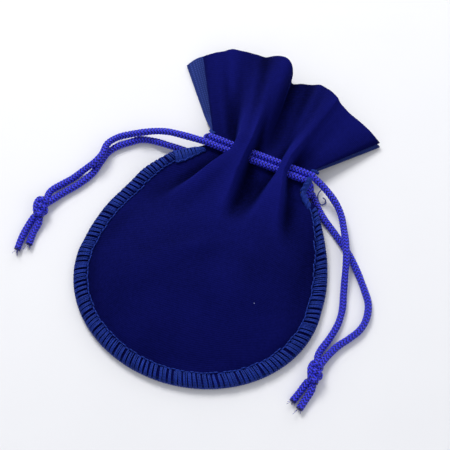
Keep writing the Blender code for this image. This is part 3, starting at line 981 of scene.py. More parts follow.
    def swell(self, x: np.ndarray, y: np.ndarray) -> np.ndarray:
        """The body's slow unevenness.

        Args:
            x: the points' places across.
            y: their places towards the mouth.

        Returns:
            What it adds to the height.
        """
        broad = 0.35 * MM * np.sin(x / (11.0 * MM) + 0.7) * np.sin(y / (14.0 * MM) + 0.4)
        slanted = 0.22 * MM * np.sin(x / (6.3 * MM) - y / (9.0 * MM))
        small = 0.12 * MM * np.sin(y / (4.1 * MM) + x / (8.0 * MM))
        return broad + slanted + small

    def front_height(self, x: np.ndarray, y: np.ndarray, share: np.ndarray) -> np.ndarray:
        """Top of the front cloth on the body.

        Args:
            x: the points' places across.
            y: their places towards the mouth.
            share: taken so that both cloths' heights are called alike, and not needed here.

        Returns:
            The heights.
        """
        neck = self.neck
        edge = self.edge_distance(x, y)
        climb = (edge - self.flat_edge + self.dome_start) / (self.dome_spread * self.half_width)
        rise = np.clip(ease(0.5 + 0.5 * climb) * 2 - 1, 0, 1)
        dome = neck.front_edge + (self.dome_height - neck.front_edge) * rise
        tops = [neck.front_floor + (top - neck.front_floor) * self.front_fold(x, y, i)
                for i, top in enumerate(neck.fold_tops)]
        weight = self.neck_weight(x, y)
        height = mix(dome, np.maximum(*tops), weight)
        free = ease((edge - self.smooth_rim) / self.rim_fade)
        return height + free * ((1 - weight) * self.swell(x, y) - self.creases(x, y) * (1 - weight ** 3))

    def back_height(self, x: np.ndarray, y: np.ndarray, share: np.ndarray) -> np.ndarray:
        """Underside of the back cloth on the body.

        Args:
            x: the points' places across.
            y: their places towards the mouth.
            share: their shares between the flat edges.

        Returns:
            The heights.
        """
        edge = self.edge_distance(x, y)
        flat = self.neck.back_edge * (1 - ease((edge - self.flat_edge) / self.back_drop))
        folds = np.maximum(self.back_fold(share, 0), self.back_fold(share, 1))
        return mix(flat, self.neck.back_arch * (1 - folds), self.neck_weight(x, y))

    def neck_line(self, height: Callable) -> np.ndarray:
        """The row of points straight across the neck where the mouth begins.

        Args:
            height: the cloth's height, by x, y and share.

        Returns:
            The points.
        """
        flat, half = self.flat_edge, self.neck.half_width
        rim = np.linspace(0, flat, len(self.edge_steps), endpoint=False)
        places = np.concatenate([rim, np.linspace(flat, 2 * half - flat, self.columns), 2 * half - rim[::-1]])
        share = np.clip((places - flat) / (2 * (half - flat)), 0, 1)
        spots = np.array([self.neck.point(place - half, self.neck.split) for place in places])
        spots[:, 2] = height(spots[:, 0], spots[:, 1], share)
        return spots

    def lip(self, start: np.ndarray, stops: tuple, layer: Layer) -> np.ndarray:
        """The mouth's rows, from the neck out to the edge.

        Args:
            start: the row at the neck.
            stops: the edge's stops.
            layer: which cloth it is.

        Returns:
            The rows of points.
        """
        width = (start[:, :2] - start[0, :2]) @ (start[-1, :2] - start[0, :2])
        share = width / width[-1]
        edge = soften(through(stops, share).T, 2).T
        past = self.neck.y + edge[:, 1] * self.mouth_length
        end = np.column_stack([edge[:, 0] * MM, past, edge[:, 2] * MM])
        level = np.linspace(0, 1, self.lip_rows + 1)[1:, None]
        plan = start[None, :, :2] + (end - start)[None, :, :2] * level[..., None]
        fall = level ** self.drop
        rim = ease((share[None] - self.corner[0]) / self.corner[1])
        if layer is Layer.BACK:
            height, waves = self.back_waves
            uneven = height * level * (1 + np.sin(share * waves))
            flat = start[None, :, 2] * (1 - ease(level / 0.36)) + uneven
            return np.dstack([plan, mix(flat, mix(start[None, :, 2], end[None, :, 2], fall), rim)])
        root = mix(start[None, :, 2], soften(start[:, 2], 14), ease(level / 0.45))
        ripple = (0.45 * np.sin(share * 47.0 + 0.6) + 0.2 * np.sin(share * 83.0 + level * 2.0)) * MM
        valleys = sum(deep * MM * np.exp(-((share[None] - near - drift * level) / wide) ** 2)
                      for near, drift, wide, deep in self.mouth_valleys)
        height = mix(root, end[None, :, 2], fall) + ripple * np.sin(level * math.pi * 0.7) * (1 - rim)
        height = height - valleys * np.sin(math.pi * level ** 0.7)
        return np.dstack([plan, height])

    def cloth(self, layer: Layer, name: str, outer: bpy.types.Material,
              inner: bpy.types.Material) -> bpy.types.Object:
        """Builds one panel.

        Args:
            layer: the front or the back panel.
            name: the piece's name.
            outer: the finish of the side that shows on the closed pouch.
            inner: the finish of the side that faces the inside.

        Returns:
            The panel, with its thickness.
        """
        front = layer is Layer.FRONT
        height = self.front_height if front else self.back_height
        x, y, share, across = self.plan()
        body = np.dstack([x, y, height(x, y, share)])
        start = self.neck_line(height)
        lip = self.lip(start, self.front_mouth if front else self.back_mouth, layer)
        points = np.vstack([body, start[None], lip])
        along = distances(points[:, points.shape[1] // 2])
        chart = np.dstack([np.broadcast_to(across[0] * 2 * self.half_width, points.shape[:2]),
                           np.broadcast_to(along[:, None], points.shape[:2])])
        # Painted shade and light: a second map, high where the cloth stands above its softened self and low
        # in its valleys, which the velvet's colour follows.
        relief = (points[..., 2] - soften(points[..., 2], self.fold_shade_reach)) / self.fold_shade_depth
        pile = np.dstack([0.5 + 0.5 * np.tanh(relief), np.zeros(points.shape[:2])])
        piece = new_object(name, grid_mesh(name, points, {"run": chart, "pile": pile}), [outer, inner])
        if not front:
            piece.data.flip_normals()
        solid = piece.modifiers.new("thickness", "SOLIDIFY")
        solid.thickness = self.neck.cloth
        solid.offset = -1.0
        solid.material_offset = 1
        solid.material_offset_rim = 1
        apply_modifiers(piece)
        return piece


def cut_slots(piece: bpy.types.Object, neck: Neck, across_from: float, across_to: float,
              height: float) -> None:
    """Cuts the slots that the drawstrings pass through.

    Args:
        piece: the cloth that is cut.
        neck: the neck that the slots run along.
        across_from: the lowest cord's place, across the neck.
        across_to: the highest cord's place.
        height: the height of the cords' middle line.
    """
    clear = neck.cord / 2 + neck.gap
    bpy.ops.object.select_all(action="DESELECT")
    bpy.ops.mesh.primitive_cube_add(size=1, location=neck.point(0, (across_from + across_to) / 2, height),
                                    rotation=(0, 0, neck.turn))
    cutter = bpy.context.object
    cutter.scale = (4 * neck.half_width, across_to - across_from + 2 * clear, 2 * clear)
    bpy.ops.object.transform_apply(location=True, rotation=True, scale=True)
    bpy.ops.object.mode_set(mode="EDIT")
    bpy.ops.mesh.select_all(action="SELECT")
    bpy.ops.mesh.bevel(offset=SLOT_ROUNDING * clear, segments=4)
    bpy.ops.object.mode_set(mode="OBJECT")
    slit = piece.modifiers.new("slots", "BOOLEAN")
    slit.operation = "DIFFERENCE"
    slit.solver = "MANIFOLD"
    slit.object = cutter
    apply_modifiers(piece)
    bpy.data.objects.remove(cutter)


# ---- The seam ----


@dataclass
class OverlockSeam:
    """The overlock stitch over both cloths' raw edges, and the threads at its ends."""

    neck: Neck
    cloths: Cloths
    pitch: float = 1.8 * MM
    width: float = 4.4 * MM
    thread: float = 0.42 * MM
    strands: int = 3
    step: float = 0.15 * MM
    slant: float = -1.0 * MM
    narrowing: float = 34.0 * MM  # how far from the right end the stitches begin to close up
    left_share: float = 0.4  # the same at the left, as a share of that
    right_end: tuple = (0.42, 0.58)  # the width's shares at the right end and gained from there
    left_end: tuple = (0.75, 0.25)
    spacing: float = 0.92  # between a loop's threads, in diameters
    # How uneven the stitches are, in millimetres.
    uneven_reach: float = 0.14
    uneven_slant: float = 0.12
    uneven_place: float = 0.16
    uneven_spread: float = 0.06
    purl_start: float = 0.2 * MM
    purl_step: float = 0.3 * MM
    core_inset: float = 0.34 * MM
    core_width: float = 0.75 * MM
    needle_inset: float = 0.35 * MM
    needle_width: float = 0.5 * MM
    open_loops: int = 9
    # Places at the neck in millimetres: along, across, over the front cloth's valley.
    open_outer: tuple = ((-29.6, -9.2, 0.5), (-26.5, -6.9, 0.5), (-22.8, -4.3, 0.5), (-19.6, -3.4, 0.5))
    open_inner: tuple = ((-27.3, -13.0, 0.35), (-24.7, -11.0, 0.35), (-21.8, -7.4, 0.35), (-19.0, -3.8, 0.35))
    right_chain: tuple = ((24.6, -10.2, -0.6), (21.9, -8.1, 1.0), (20.3, -5.5, 1.9), (21.0, -2.9, 3.75),
                          (20.9, -1.2, 3.95))
    left_tack: tuple = ((-21.0, 4.9, -0.2), (-20.4, 4.0, 0.5), (-19.0, 3.6, 0.6))
    right_tack: tuple = ((19.6, 3.9, 0.3), (20.9, 4.4, -0.2), (22.2, 4.4, -1.2))
    # The stray thread's points, in millimetres.
    stray: tuple = ((31.6, 49.4, 1.2), (30.9, 46.9, 0.9), (31.8, 44.7, 0.7), (33.2, 43.6, 0.5),
                    (34.4, 44.5, 0.5), (34.0, 45.9, 0.8), (32.9, 46.2, 1.2))

    def places(self, stops: tuple) -> list:
        """Points from stops at the neck: along, across and over the valley, in millimetres."""
        return [self.neck.point(along * MM, across * MM, self.neck.front_floor + height * MM)
                for along, across, height in stops]

    def reach(self, frames: tuple, place: float) -> float:
        """The stitches' width at a place: they close up towards the neck, and most on the right.

        Args:
            frames: what frames() gives.
            place: how far along the seam.

        Returns:
            The width.
        """
        total = self.step * (len(frames[0]) - 1)
        right = float(ease((total - place) / self.narrowing))
        left = float(ease(place / (self.left_share * self.narrowing)))
        width = self.width * (self.right_end[0] + self.right_end[1] * right)
        return width * (self.left_end[0] + self.left_end[1] * left)

    def lift(self, spot: np.ndarray) -> float:
        """How far the seam rises towards the neck."""
        weight = float(self.cloths.neck_weight(spot[0], spot[1]))
        return (self.neck.front_floor - self.neck.front_edge) * weight

    def frames(self) -> tuple:
        """Evenly spaced spots on the outer edge, and the way in at each.

        Returns:
            The spots and the directions.
        """
        flat = np.column_stack([self.cloths.edge, np.zeros(len(self.cloths.edge))])
        path = smooth_path(list(flat), self.step)
        along = np.gradient(path, axis=0)
        along /= np.linalg.norm(along, axis=1)[:, None]
        inward = np.column_stack([-along[:, 1], along[:, 0], np.zeros(len(path))])
        return path, inward

    def spot(self, frames: tuple, place: float, inwards: float, height: float) -> np.ndarray:
        """A point on the seam: how far along it, how far in from the edge, how high.

        Args:
            frames: what frames() gives.
            place: how far along the seam.
            inwards: how far in from the edge.
            height: above the table.

        Returns:
            The point.
        """
        path, inward = frames
        i = int(np.clip(round(place / self.step), 0, len(path) - 1))
        spot = path[i] + inward[i] * inwards
        spot[2] = height + self.lift(spot)
        return spot

    def loop(self, frames: tuple, place: float, seed: np.random.Generator) -> list:
        """One looper thread's way over the edge: in over the front, round the edge, in under the back.

        Args:
            frames: what frames() gives.
            place: how far along the seam the loop begins.
            seed: the random numbers for its unevenness.

        Returns:
            The loop's points.
        """
        radius = self.thread / 2
        top = self.neck.front_edge + radius + 0.28 * MM
        low = radius
        reach = self.reach(frames, place) + seed.normal(0, self.uneven_reach) * MM
        swing = self.slant + seed.normal(0, self.uneven_slant) * MM
        middle = (top + low) / 2
        section = (
            (swing, reach, top - 0.22 * MM), (0.72 * swing, 0.72 * reach, top + 0.16 * MM),
            (0.38 * swing, 0.36 * reach, top + 0.14 * MM), (0.12 * swing, 0.10 * reach, top - 0.05 * MM),
            (0.0, -0.02 * reach, middle + 0.55 * MM), (-0.05 * swing, -0.03 * reach, middle - 0.55 * MM),
            (-0.15 * swing, 0.10 * reach, low + 0.12 * MM), (-0.55 * swing, 0.5 * reach, low),
            (-0.95 * swing, 0.97 * reach, low + 0.10 * MM),
        )
        return [self.spot(frames, place + shift, inwards, height) for shift, inwards, height in section]

    def threads(self, finish: bpy.types.Material) -> bpy.types.Object:
        """All the looper threads, as one piece.

        Args:
            finish: the threads' material.

        Returns:
            The piece.
        """
        frames = self.frames()
        total = self.step * (len(frames[0]) - 1)
        seed = np.random.default_rng(7)
        tubes = []
        for k in range(int(total / self.pitch)):
            shift = seed.normal(0, self.uneven_place) * MM
            for strand in range(self.strands):
                spread = (strand - 1) * self.spacing * self.thread + seed.normal(0, self.uneven_spread) * MM
                place = (k + 0.5) * self.pitch + shift + spread
                route = self.loop(frames, place, seed)
                tubes.append(plain_tube(route, 1.1 * MM, self.thread * seed.uniform(0.9, 1.1), 6))
        return new_object("overlock_threads", tubes_mesh("overlock_threads", tubes), [finish])

    def edge_chain(self, finish: bpy.types.Material) -> bpy.types.Object:
        """The purl that the loopers make along the very edge.

        Args:
            finish: the threads' material.

        Returns:
            The piece.
        """
        frames = self.frames()
        total = self.step * (len(frames[0]) - 1)
        places = np.arange(self.purl_start, total, self.purl_step)
        middle = self.neck.front_edge / 2 + 0.1 * MM
        tubes = []
        for shift in (0.0, 0.5):
            wave = np.sin((places / self.pitch + shift) * math.tau)
            route = [self.spot(frames, p, -0.12 * MM - 0.10 * MM * w * w, middle + 0.42 * MM * w)
                     for p, w in zip(places, wave)]
            tubes.append(plain_tube(route, 0.3 * MM, 0.8 * self.thread, 6))
        core = [self.spot(frames, p, self.core_inset, middle) for p in places[::3]]
        tubes.append(plain_tube(core, 0.5 * MM, self.core_width, 8))
        return new_object("overlock_purl", tubes_mesh("overlock_purl", tubes), [finish])

    def needle_line(self, finish: bpy.types.Material) -> bpy.types.Object:
        """The straight stitches that hold the overlocking's inner side, over and under the front cloth.

        Args:
            finish: the threads' material.

        Returns:
            The piece.
        """
        frames = self.frames()
        total = self.step * (len(frames[0]) - 1)
        seed = np.random.default_rng(11)
        top = self.neck.front_edge
        tubes = []
        for k in range(int(total / self.pitch)):
            start = k * self.pitch
            line = self.reach(frames, start) + self.needle_inset
            side = seed.normal(0, self.uneven_place) * MM
            route = [self.spot(frames, start + 0.05 * MM, line + side, top - 0.25 * MM),
                     self.spot(frames, start + 0.35 * MM, line + side, top + 0.30 * MM),
                     self.spot(frames, start + 0.5 * self.pitch, line + side, top + 0.40 * MM),
                     self.spot(frames, start + self.pitch - 0.3 * MM, line + side, top + 0.30 * MM),
                     self.spot(frames, start + self.pitch, line + side, top - 0.25 * MM)]
            tubes.append(plain_tube(route, 0.3 * MM, self.needle_width, 6))
        return new_object("needle_stitches", tubes_mesh("needle_stitches", tubes), [finish])

    def bundle(self, name: str, route: list, width: float, count: int, diameter: float,
               finish: bpy.types.Material) -> bpy.types.Object:
        """A short chain of threads that twist round one another.

        Args:
            name: the piece's name.
            route: the points that the chain follows.
            width: how far the threads swing from its middle.
            count: how many threads.
            diameter: each thread's diameter.
            finish: their material.

        Returns:
            The chain as one piece.
        """
        path = smooth_path(route, 0.25 * MM)
        first, second = ring_frames(path)
        travelled = np.linspace(0, path_length(path), len(path))
        tubes = []
        for k in range(count):
            angle = math.tau * (travelled / (2.6 * MM) + k / count)
            swing = 0.5 * width * (0.8 + 0.2 * np.cos(travelled / (0.7 * MM) + k))
            line = (path + first * (np.cos(angle) * swing)[:, None]
                    + second * (0.45 * np.sin(angle) * swing)[:, None])
            tubes.append((line, np.full((len(line), 6), diameter / 2)))
        return new_object(name, tubes_mesh(name, tubes), [finish])

    def open_stitches(self, finish: bpy.types.Material) -> bpy.types.Object:
        """The last, looser stitches at the left, which lie on the cloth's edge beside the cords.

        Args:
            finish: the threads' material.

        Returns:
            The piece.
        """
        seed = np.random.default_rng(5)
        outer = smooth_path(self.places(self.open_outer), 0.2 * MM)
        inner = smooth_path(self.places(self.open_inner), 0.2 * MM)
        tubes = []
        for k in range(self.open_loops):
            for strand in range(self.strands):
                share = (k + 0.3 + 0.20 * strand + seed.normal(0, 0.04)) / (self.open_loops + 0.2)
                far = outer[int(share * (len(outer) - 1))]
                near = inner[int(np.clip(share + 0.03 + 0.01 * strand, 0, 1) * (len(inner) - 1))]
                middle = mix(far, near, 0.5) + (0, 0, (0.45 + seed.uniform(0, 0.2)) * MM)
                route = [far - (0, 0, 0.7 * MM), far, middle, near, near - (0, 0, 0.4 * MM)]
                tubes.append(plain_tube(route, 0.4 * MM, self.thread, 6))
        wave = [point + (0.25 * MM * math.sin(1.4 * k), 0.25 * MM * math.cos(1.4 * k), 0.2 * MM)
                for k, point in enumerate(inner[::3])]
        tubes.append(plain_tube(wave, 0.3 * MM, 0.45 * MM, 6))
        tubes.append(plain_tube(list(outer[::3]), 0.4 * MM, 0.6 * MM, 6))
        return new_object("left_open_stitches", tubes_mesh("left_open_stitches", tubes), [finish])

    def stray_thread(self, finish: bpy.types.Material) -> bpy.types.Object:
        """A loose end of thread that has caught on the right cords."""
        tube = plain_tube([np.array(place) * MM for place in self.stray], 0.3 * MM, 0.4 * MM, 6)
        return new_object("stray_thread", tubes_mesh("stray_thread", [tube]), [finish])

    def build(self, finish: bpy.types.Material) -> None:
        """Builds the seam's pieces and says what each stands for.

        Args:
            finish: the threads' material.
        """
        chains = (
            ("right_chain_threads", self.right_chain, 2.1 * MM, 10, 0.55 * MM, "right_seam_chain"),
            ("left_tack_threads", self.left_tack, 1.3 * MM, 5, 0.4 * MM, "left_mouth_tack"),
            ("right_tack_threads", self.right_tack, 1.3 * MM, 5, 0.4 * MM, "right_mouth_tack"),
        )
        made = [(self.threads(finish), "overlock_seam"), (self.edge_chain(finish), "overlock_seam"),
                (self.needle_line(finish), "needle_thread"), (self.open_stitches(finish), "left_seam_chain")]
        for name, stops, width, count, diameter, node in chains:
            made.append((self.bundle(name, self.places(stops), width, count, diameter, finish), node))
        for piece, node in made:
            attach(piece, "pouch")
            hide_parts(node)
            LOG.info("%s stands for %s", piece.name, node)
        stray = self.stray_thread(finish)
        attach(stray, "right_pull")


# ---- The drawstrings ----


@dataclass
class Drawstring:
    """One looped cord: its run through the neck, its two free strands, its knot and its tails."""

    neck: Neck
    side: Side
    front_route: tuple
    back_route: tuple
    knot_centre: tuple
    tails: dict
    pull_back: float  # across, where the back strand leaves
    run_back: float  # across, where the run that the neck holds comes back
    front_join: float  # along, where the front strand meets that run, inside a fold
    back_join: float
    straight_past: tuple  # how far past the neck the front and the back strand stay straight
    knot_lean: float = math.radians(8.0)
    frayed: int = 16  # fibres at each tail's end
    wales: int = 5
    sides: int = 40
    stitch: float = 1.25 * MM
    ring: float = 0.2 * MM  # between the rings of points along the cord
    wraps: tuple = (2.35, 0.12)  # the knot's turns round its core, and where they begin
    wrap_reach: float = 1.75 * MM
    wrap_length: float = 6.6 * MM
    core_half: float = 3.9 * MM
    wrap_width: float = 2.15 * MM
    core_width: float = 3.2 * MM
    tuck_width: float = 1.9 * MM
    # The last tuck's points in millimetres: along the knot, sideways, up.
    tuck: tuple = ((3.6, -1.0, 0.2), (2.2, -1.7, 1.0), (0.2, -1.9, 1.5), (-2.0, -1.5, 1.3), (-3.6, -0.7, 0.4))
    fibre_width: float = 0.14 * MM
    fibre_rest: float = 0.12 * MM  # the lowest that a fibre's middle line lies

    @property
    def word(self) -> str:
        """The side, as it is written in names."""
        return self.side.name.lower()

    @property
    def front_across(self) -> float:
        """Where the front run lies across the neck."""
        return self.side.value * 0.5 * self.neck.pitch

    def knitted(self, path: np.ndarray, diameter: float) -> tuple:
        """A path and the radii of a knitted cord along it.

        Args:
            path: the cord's middle line, evenly spaced.
            diameter: over its ribs.

        Returns:
            The path and its radii, ring by ring.
        """
        travelled = distances(path)
        column = np.arange(self.sides) / self.sides * self.wales % 1.0
        lean = np.abs(column - 0.5)
        leg = 0.5 + 0.5 * np.cos(math.tau * (travelled[:, None] / self.stitch + 1.3 * lean[None]))
        groove = (2 * lean[None]) ** 4
        depth = 0.13 * (1 - leg) + 0.09 * groove
        wobble = 1 + 0.025 * np.sin(travelled / (3.1 * MM)) + 0.02 * np.sin(travelled / (1.3 * MM) + 1.0)
        return path, diameter / 2 * 1.06 * (1 - depth) * wobble[:, None]

    def straight(self, front: bool) -> list:
        """The stretch of a strand that slides inside the neck.

        Args:
            front: the front strand's stretch if true, the back one's if not.

        Returns:
            Its points, from the join to where it bends.
        """
        neck = self.neck
        across = self.front_across if front else self.pull_back
        height = neck.front_cord if front else neck.back_cord
        join = self.front_join if front else self.back_join
        start = join + self.side.value * neck.gap / 2
        leave = self.side.value * (neck.half_width + self.straight_past[0 if front else 1])
        return [neck.point(mix(start, leave, k / 3), across, height) for k in range(4)]

    def strand(self, front: bool, finish: bpy.types.Material) -> tuple:
        """One free strand, from inside the neck into the knot.

        Args:
            front: whether it is the strand that leaves over the front cloth.
            finish: the cord's material.

        Returns:
            The piece and the points that it follows.
        """
        route = self.straight(front) + list(self.front_route if front else self.back_route)
        inside = np.array(self.knot_centre) + (0.35 if front else -0.35) * MM * np.array((1, 0, 0))
        path = smooth_path([*route, mix(np.array(route[-1]), inside, 0.55)], self.ring)
        name = f"{self.word}_{'front' if front else 'back'}_cord"
        piece = new_object(name, tubes_mesh(name, [self.knitted(path, self.neck.cord)]), [finish])
        return piece, path

    def neck_run(self, finish: bpy.types.Material) -> bpy.types.Object:
        """The run that the neck holds: along the front, round the neck's edge, back along the back.

        Args:
            finish: the cord's material.

        Returns:
            The piece.
        """
        neck, out = self.neck, -self.side.value
        turn_along = neck.half_width - neck.gap
        start = neck.point(self.front_join + out * neck.gap / 2, self.front_across, neck.front_cord)
        corner = neck.point(out * turn_along, self.front_across, neck.front_cord)
        under = neck.point(out * turn_along, self.run_back, neck.back_cord)
        end = neck.point(self.back_join + out * neck.gap / 2, self.pull_back, neck.back_cord)
        middle, arm = (corner + under) / 2, (corner - under) / 2
        sideways = (neck.point(1, 0) - neck.point(0, 0)) * np.linalg.norm(arm) * 0.8 * out
        angles = [math.pi * k / 8 for k in range(9)]
        bend = [middle + arm * math.cos(angle) + sideways * math.sin(angle) for angle in angles]
        path = smooth_path([start, mix(start, corner, 0.5), *bend, mix(under, end, 0.5), end], self.ring)
        name = f"{self.word}_neck_cord"
        return new_object(name, tubes_mesh(name, [self.knitted(path, neck.cord)]), [finish])

    def knot(self, finish: bpy.types.Material) -> bpy.types.Object:
        """The overhand knot that ties both ends: wraps of cord, drawn tight round the core.

        Args:
            finish: the cord's material.

        Returns:
            The piece.
        """
        centre = np.array(self.knot_centre)
        cos, sin = math.cos(self.knot_lean), math.sin(self.knot_lean)
        axis, sideways, up = np.array((-sin, cos, 0)), np.array((cos, sin, 0)), np.array((0, 0, 1))
        turns = np.linspace(0, 1, 60)
        angle = math.tau * (self.wraps[0] * turns + self.wraps[1])
        belly = np.sin(math.pi * np.clip(turns * 1.08 - 0.04, 0, 1)) ** 0.6
        reach = self.wrap_reach * (0.55 + 0.45 * belly)
        slide = (turns - 0.5) * self.wrap_length
        wraps = [centre + axis * s + sideways * (r * math.cos(a)) + up * (0.92 * r * math.sin(a))
                 for s, r, a in zip(slide, reach, angle)]
        core = [centre + axis * s for s in (-self.core_half, 0.0, self.core_half)]
        tuck = [centre + axis * s * MM + sideways * a * MM + up * b * MM for s, a, b in self.tuck]
        tubes = [self.knitted(smooth_path(route, self.ring), width) for route, width in
                 ((wraps, self.wrap_width), (core, self.core_width), (tuck, self.tuck_width))]
        name = f"{self.word}_tied_knot"
        return new_object(name, tubes_mesh(name, tubes), [finish])

    def tail(self, name: str, route: tuple, finish: bpy.types.Material) -> bpy.types.Object:
        """One cut tail below the knot, with a few fibres frayed out of its end.

        Args:
            name: the piece's name.
            route: the tail's points.
            finish: the cord's material.

        Returns:
            The piece.
        """
        points = [np.array(p) for p in route]
        inside = mix(points[0], np.array(self.knot_centre), 0.42)
        path = smooth_path([inside, *points], self.ring)
        end, way = path[-1], path[-1] - path[-4]
        way = way / np.linalg.norm(way)
        seed = np.random.default_rng(len(name))
        tubes = [self.knitted(path, self.neck.cord)]
        for _ in range(self.frayed):
            spread = seed.normal(0, 0.45, 3) * MM
            reach = seed.uniform(0.5, 1.3) * MM
            fibre = [end - way * 0.3 * MM + spread * 0.9, end + way * 0.4 * reach + spread * 1.2,
                     end + way * reach + spread * 1.9 + np.array((0, 0, 0.1 * MM))]
            fibre = [np.array((p[0], p[1], max(p[2], self.fibre_rest))) for p in fibre]
            tubes.append(plain_tube(fibre, 0.25 * MM, self.fibre_width, 4))
        return new_object(name, tubes_mesh(name, tubes), [finish])

    def build(self, finish: bpy.types.Material) -> None:
        """Builds the cord's pieces, and logs how long each free strand is.

        Args:
            finish: the cord's material.
        """
        body = f"{self.word}_pull"
        run = self.neck_run(finish)
        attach(run, "pouch")
        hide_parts(f"{self.word}_drawstring_neck_run")
        knot = self.knot(finish)
        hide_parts(f"{self.word}_knot")
        tails = []
        for name, route in self.tails.items():
            tail = self.tail(f"{self.word}_{name}_tail", route, finish)
            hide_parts(f"{self.word}_tail_{name}")
            tails.append(tail)
        for piece in (knot, *tails):
            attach(piece, body)
        for front, goes_with in ((True, [knot, *tails]), (False, [])):
            cord, path = self.strand(front, finish)
            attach(cord, body)
            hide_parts(f"{self.word}_{'front' if front else 'back'}_strand")
            LOG.info("%s is %.0f mm long", cord.name, path_length(path) / MM)


def left_drawstring(neck: Neck) -> Drawstring:
    """The cord that is pulled to the left.

    Args:
        neck: the neck that it runs through.

    Returns:
        The cord.
    """
    return Drawstring(
        neck, Side.LEFT,
        front_route=(
            (-0.0266, 0.0529, 0.0066), (-0.0326, 0.0527, 0.0050), (-0.0379, 0.0509, 0.0043),
            (-0.0427, 0.0493, 0.0029), (-0.0466, 0.0469, 0.0026), (-0.0489, 0.0426, 0.0040),
            (-0.0493, 0.0376, 0.0044), (-0.0507, 0.0340, 0.0041), (-0.0535, 0.0308, 0.0026),
            (-0.0568, 0.0265, 0.0014), (-0.0600, 0.0225, 0.0016), (-0.0626, 0.0184, 0.0023),
        ),
        back_route=(
            (-0.0280, 0.0496, 0.0023), (-0.0337, 0.0500, 0.0016), (-0.0382, 0.0493, 0.0014),
            (-0.0420, 0.0468, 0.0014), (-0.0455, 0.0440, 0.0014), (-0.0480, 0.0406, 0.0014),
            (-0.0493, 0.0362, 0.0014), (-0.0506, 0.0306, 0.0014), (-0.0537, 0.0250, 0.0014),
            (-0.0575, 0.0203, 0.0014), (-0.0599, 0.0169, 0.0017),
        ),
        knot_centre=(-0.0633, 0.0109, 0.0029),
        tails={
            "long": ((-0.0652, 0.0049, 0.0018), (-0.0659, 0.0010, 0.0014), (-0.0661, -0.0030, 0.0014),
                     (-0.0660, -0.0067, 0.0014)),
            "short": ((-0.0623, 0.0049, 0.0018), (-0.0629, 0.0010, 0.0014), (-0.0627, -0.0036, 0.0014)),
        },
        pull_back=-5.0 * MM, run_back=neck.back_runs[0], front_join=-2.6 * MM, back_join=-3.9 * MM,
        straight_past=(2.0 * MM, 2.0 * MM),
    )


def right_drawstring(neck: Neck) -> Drawstring:
    """The cord that is pulled to the right.

    Args:
        neck: the neck that it runs through.

    Returns:
        The cord.
    """
    return Drawstring(
        neck, Side.RIGHT,
        front_route=(
            (0.0276, 0.0503, 0.0074), (0.0326, 0.0478, 0.0062), (0.0373, 0.0446, 0.0048),
            (0.0410, 0.0406, 0.0038), (0.0439, 0.0347, 0.0036), (0.0462, 0.0287, 0.0042),
            (0.0478, 0.0234, 0.0038), (0.0490, 0.0175, 0.0026), (0.0502, 0.0116, 0.0016),
            (0.0514, 0.0056, 0.0014), (0.0514, -0.0003, 0.0014), (0.0500, -0.0065, 0.0015),
            (0.0480, -0.0130, 0.0021),
        ),
        back_route=(
            (0.0285, 0.0466, 0.0014), (0.0318, 0.0422, 0.0014), (0.0356, 0.0380, 0.0014),
            (0.0403, 0.0340, 0.0014), (0.0454, 0.0294, 0.0014), (0.0497, 0.0250, 0.0014),
            (0.0533, 0.0204, 0.0014), (0.0572, 0.0147, 0.0014), (0.0596, 0.0103, 0.0014),
            (0.0604, 0.0051, 0.0014), (0.0594, 0.0002, 0.0014), (0.0566, -0.0042, 0.0014),
            (0.0535, -0.0082, 0.0014), (0.0512, -0.0128, 0.0019),
        ),
        knot_centre=(0.0488, -0.0204, 0.0029),
        tails={
            "short": ((0.0464, -0.0260, 0.0018), (0.0453, -0.0290, 0.0014), (0.0441, -0.0321, 0.0014)),
            "long": ((0.0492, -0.0266, 0.0018), (0.0482, -0.0302, 0.0014), (0.0471, -0.0341, 0.0014)),
        },
        pull_back=-1.2 * MM, run_back=neck.back_runs[1], front_join=8.9 * MM, back_join=8.9 * MM,
        straight_past=(2.0 * MM, 0.0), frayed=7,
    )


# ---- Studio ----


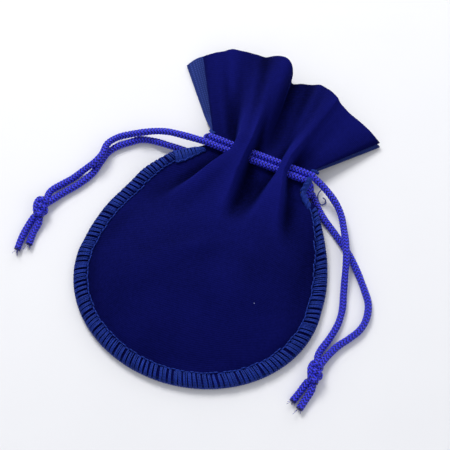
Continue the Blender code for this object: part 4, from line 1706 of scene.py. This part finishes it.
@dataclass
class Studio:
    """A pale table, soft lights and the camera."""

    azimuth: float = math.radians(17.4)
    elevation: float = math.radians(64.0)
    distance: float = 0.508
    target: tuple = (0.002, 0.0255, 0.0)
    lens: float = 112.0
    sensor: float = 36.0
    table_size: float = 6.0
    # The lamps: name, place, size and power.
    lamps: tuple = (("key_light", (-0.45, 0.55, 0.75), 0.4, 8.0), ("fill_light", (0.7, -0.5, 0.8), 0.8, 2.0),
                    ("back_light", (0.1, 0.9, 0.35), 0.5, 1.5))
    sky: tuple = (0.93, 0.95, 1.0)
    sky_strength: float = 0.55

    def table(self) -> None:
        """The table top that the pouch lies on."""
        bpy.ops.object.select_all(action="DESELECT")
        bpy.ops.mesh.primitive_grid_add(x_subdivisions=2, y_subdivisions=2, size=self.table_size)
        top = bpy.context.object
        top.name = "table_top"
        top.data.materials.append(TableFinish().material())

    def lamp(self, name: str, place: tuple, size: float, power: float) -> None:
        """A square soft light that faces the pouch.

        Args:
            name: the lamp's name.
            place: where it stands.
            size: the length of its side.
            power: in watts.
        """
        light = bpy.data.lights.new(name, "AREA")
        light.shape = "SQUARE"
        light.size = size
        light.energy = power
        lamp = bpy.data.objects.new(name, light)
        lamp.location = place
        lamp.rotation_euler = (Vector(self.target) - Vector(place)).to_track_quat("-Z", "Y").to_euler()
        bpy.context.scene.collection.objects.link(lamp)

    def camera(self) -> None:
        """The camera, above the pouch and to its right."""
        away = Vector((math.sin(self.azimuth) * math.cos(self.elevation),
                       -math.cos(self.azimuth) * math.cos(self.elevation), math.sin(self.elevation)))
        camera = bpy.data.objects.new("camera", bpy.data.cameras.new("camera"))
        camera.data.lens = self.lens
        camera.data.sensor_width = self.sensor
        camera.location = Vector(self.target) + away * self.distance
        camera.rotation_euler = (-away).to_track_quat("-Z", "Y").to_euler()
        bpy.context.scene.collection.objects.link(camera)
        bpy.context.scene.camera = camera

    def build(self) -> None:
        """Sets the scene up."""
        self.table()
        for name, place, size, power in self.lamps:
            self.lamp(name, place, size, power)
        world = bpy.data.worlds.new("studio")
        world.use_nodes = True
        world.node_tree.nodes["Background"].inputs["Color"].default_value = (*self.sky, 1.0)
        world.node_tree.nodes["Background"].inputs["Strength"].default_value = self.sky_strength
        bpy.context.scene.world = world
        bpy.context.scene.view_settings.view_transform = "Standard"
        self.camera()


def build_cloths(neck: Neck, cloths: Cloths) -> None:
    """Builds both panels and cuts their slots; the back one goes with the pouch.

    Args:
        neck: the neck's sizes.
        cloths: the panels' sizes.
    """
    pile, wrong = VelvetFinish().material(), KnitBackFinish().material()
    front = cloths.cloth(Layer.FRONT, "front_cloth", pile, wrong)
    cut_slots(front, neck, -0.5 * neck.pitch, 0.5 * neck.pitch, neck.front_cord)
    back = cloths.cloth(Layer.BACK, "back_cloth", pile, wrong)
    cut_slots(back, neck, *neck.back_runs, neck.back_cord)
    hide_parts("front_panel", "front_lip")
    bend_start, bend_end = (neck.point(0, across) for across in cloths.lip_bend)
    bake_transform(front)
    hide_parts("back_panel")
    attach(back, "pouch")
    for piece in (front, back):
        LOG.info("%s has %d faces", piece.name, len(piece.data.polygons))


def main() -> None:
    """Builds the pouch around the frame, piece by piece."""
    logging.basicConfig(level=logging.INFO, format="%(name)s: %(message)s")
    Studio().build()
    neck = Neck.from_frame()
    cloths = Cloths(neck)
    cord_finish = CordFinish().material()
    for drawstring in (left_drawstring(neck), right_drawstring(neck)):
        drawstring.build(cord_finish)
    build_cloths(neck, cloths)
    OverlockSeam(neck, cloths).build(ThreadFinish().material())


if __name__ == "__main__":
    main()
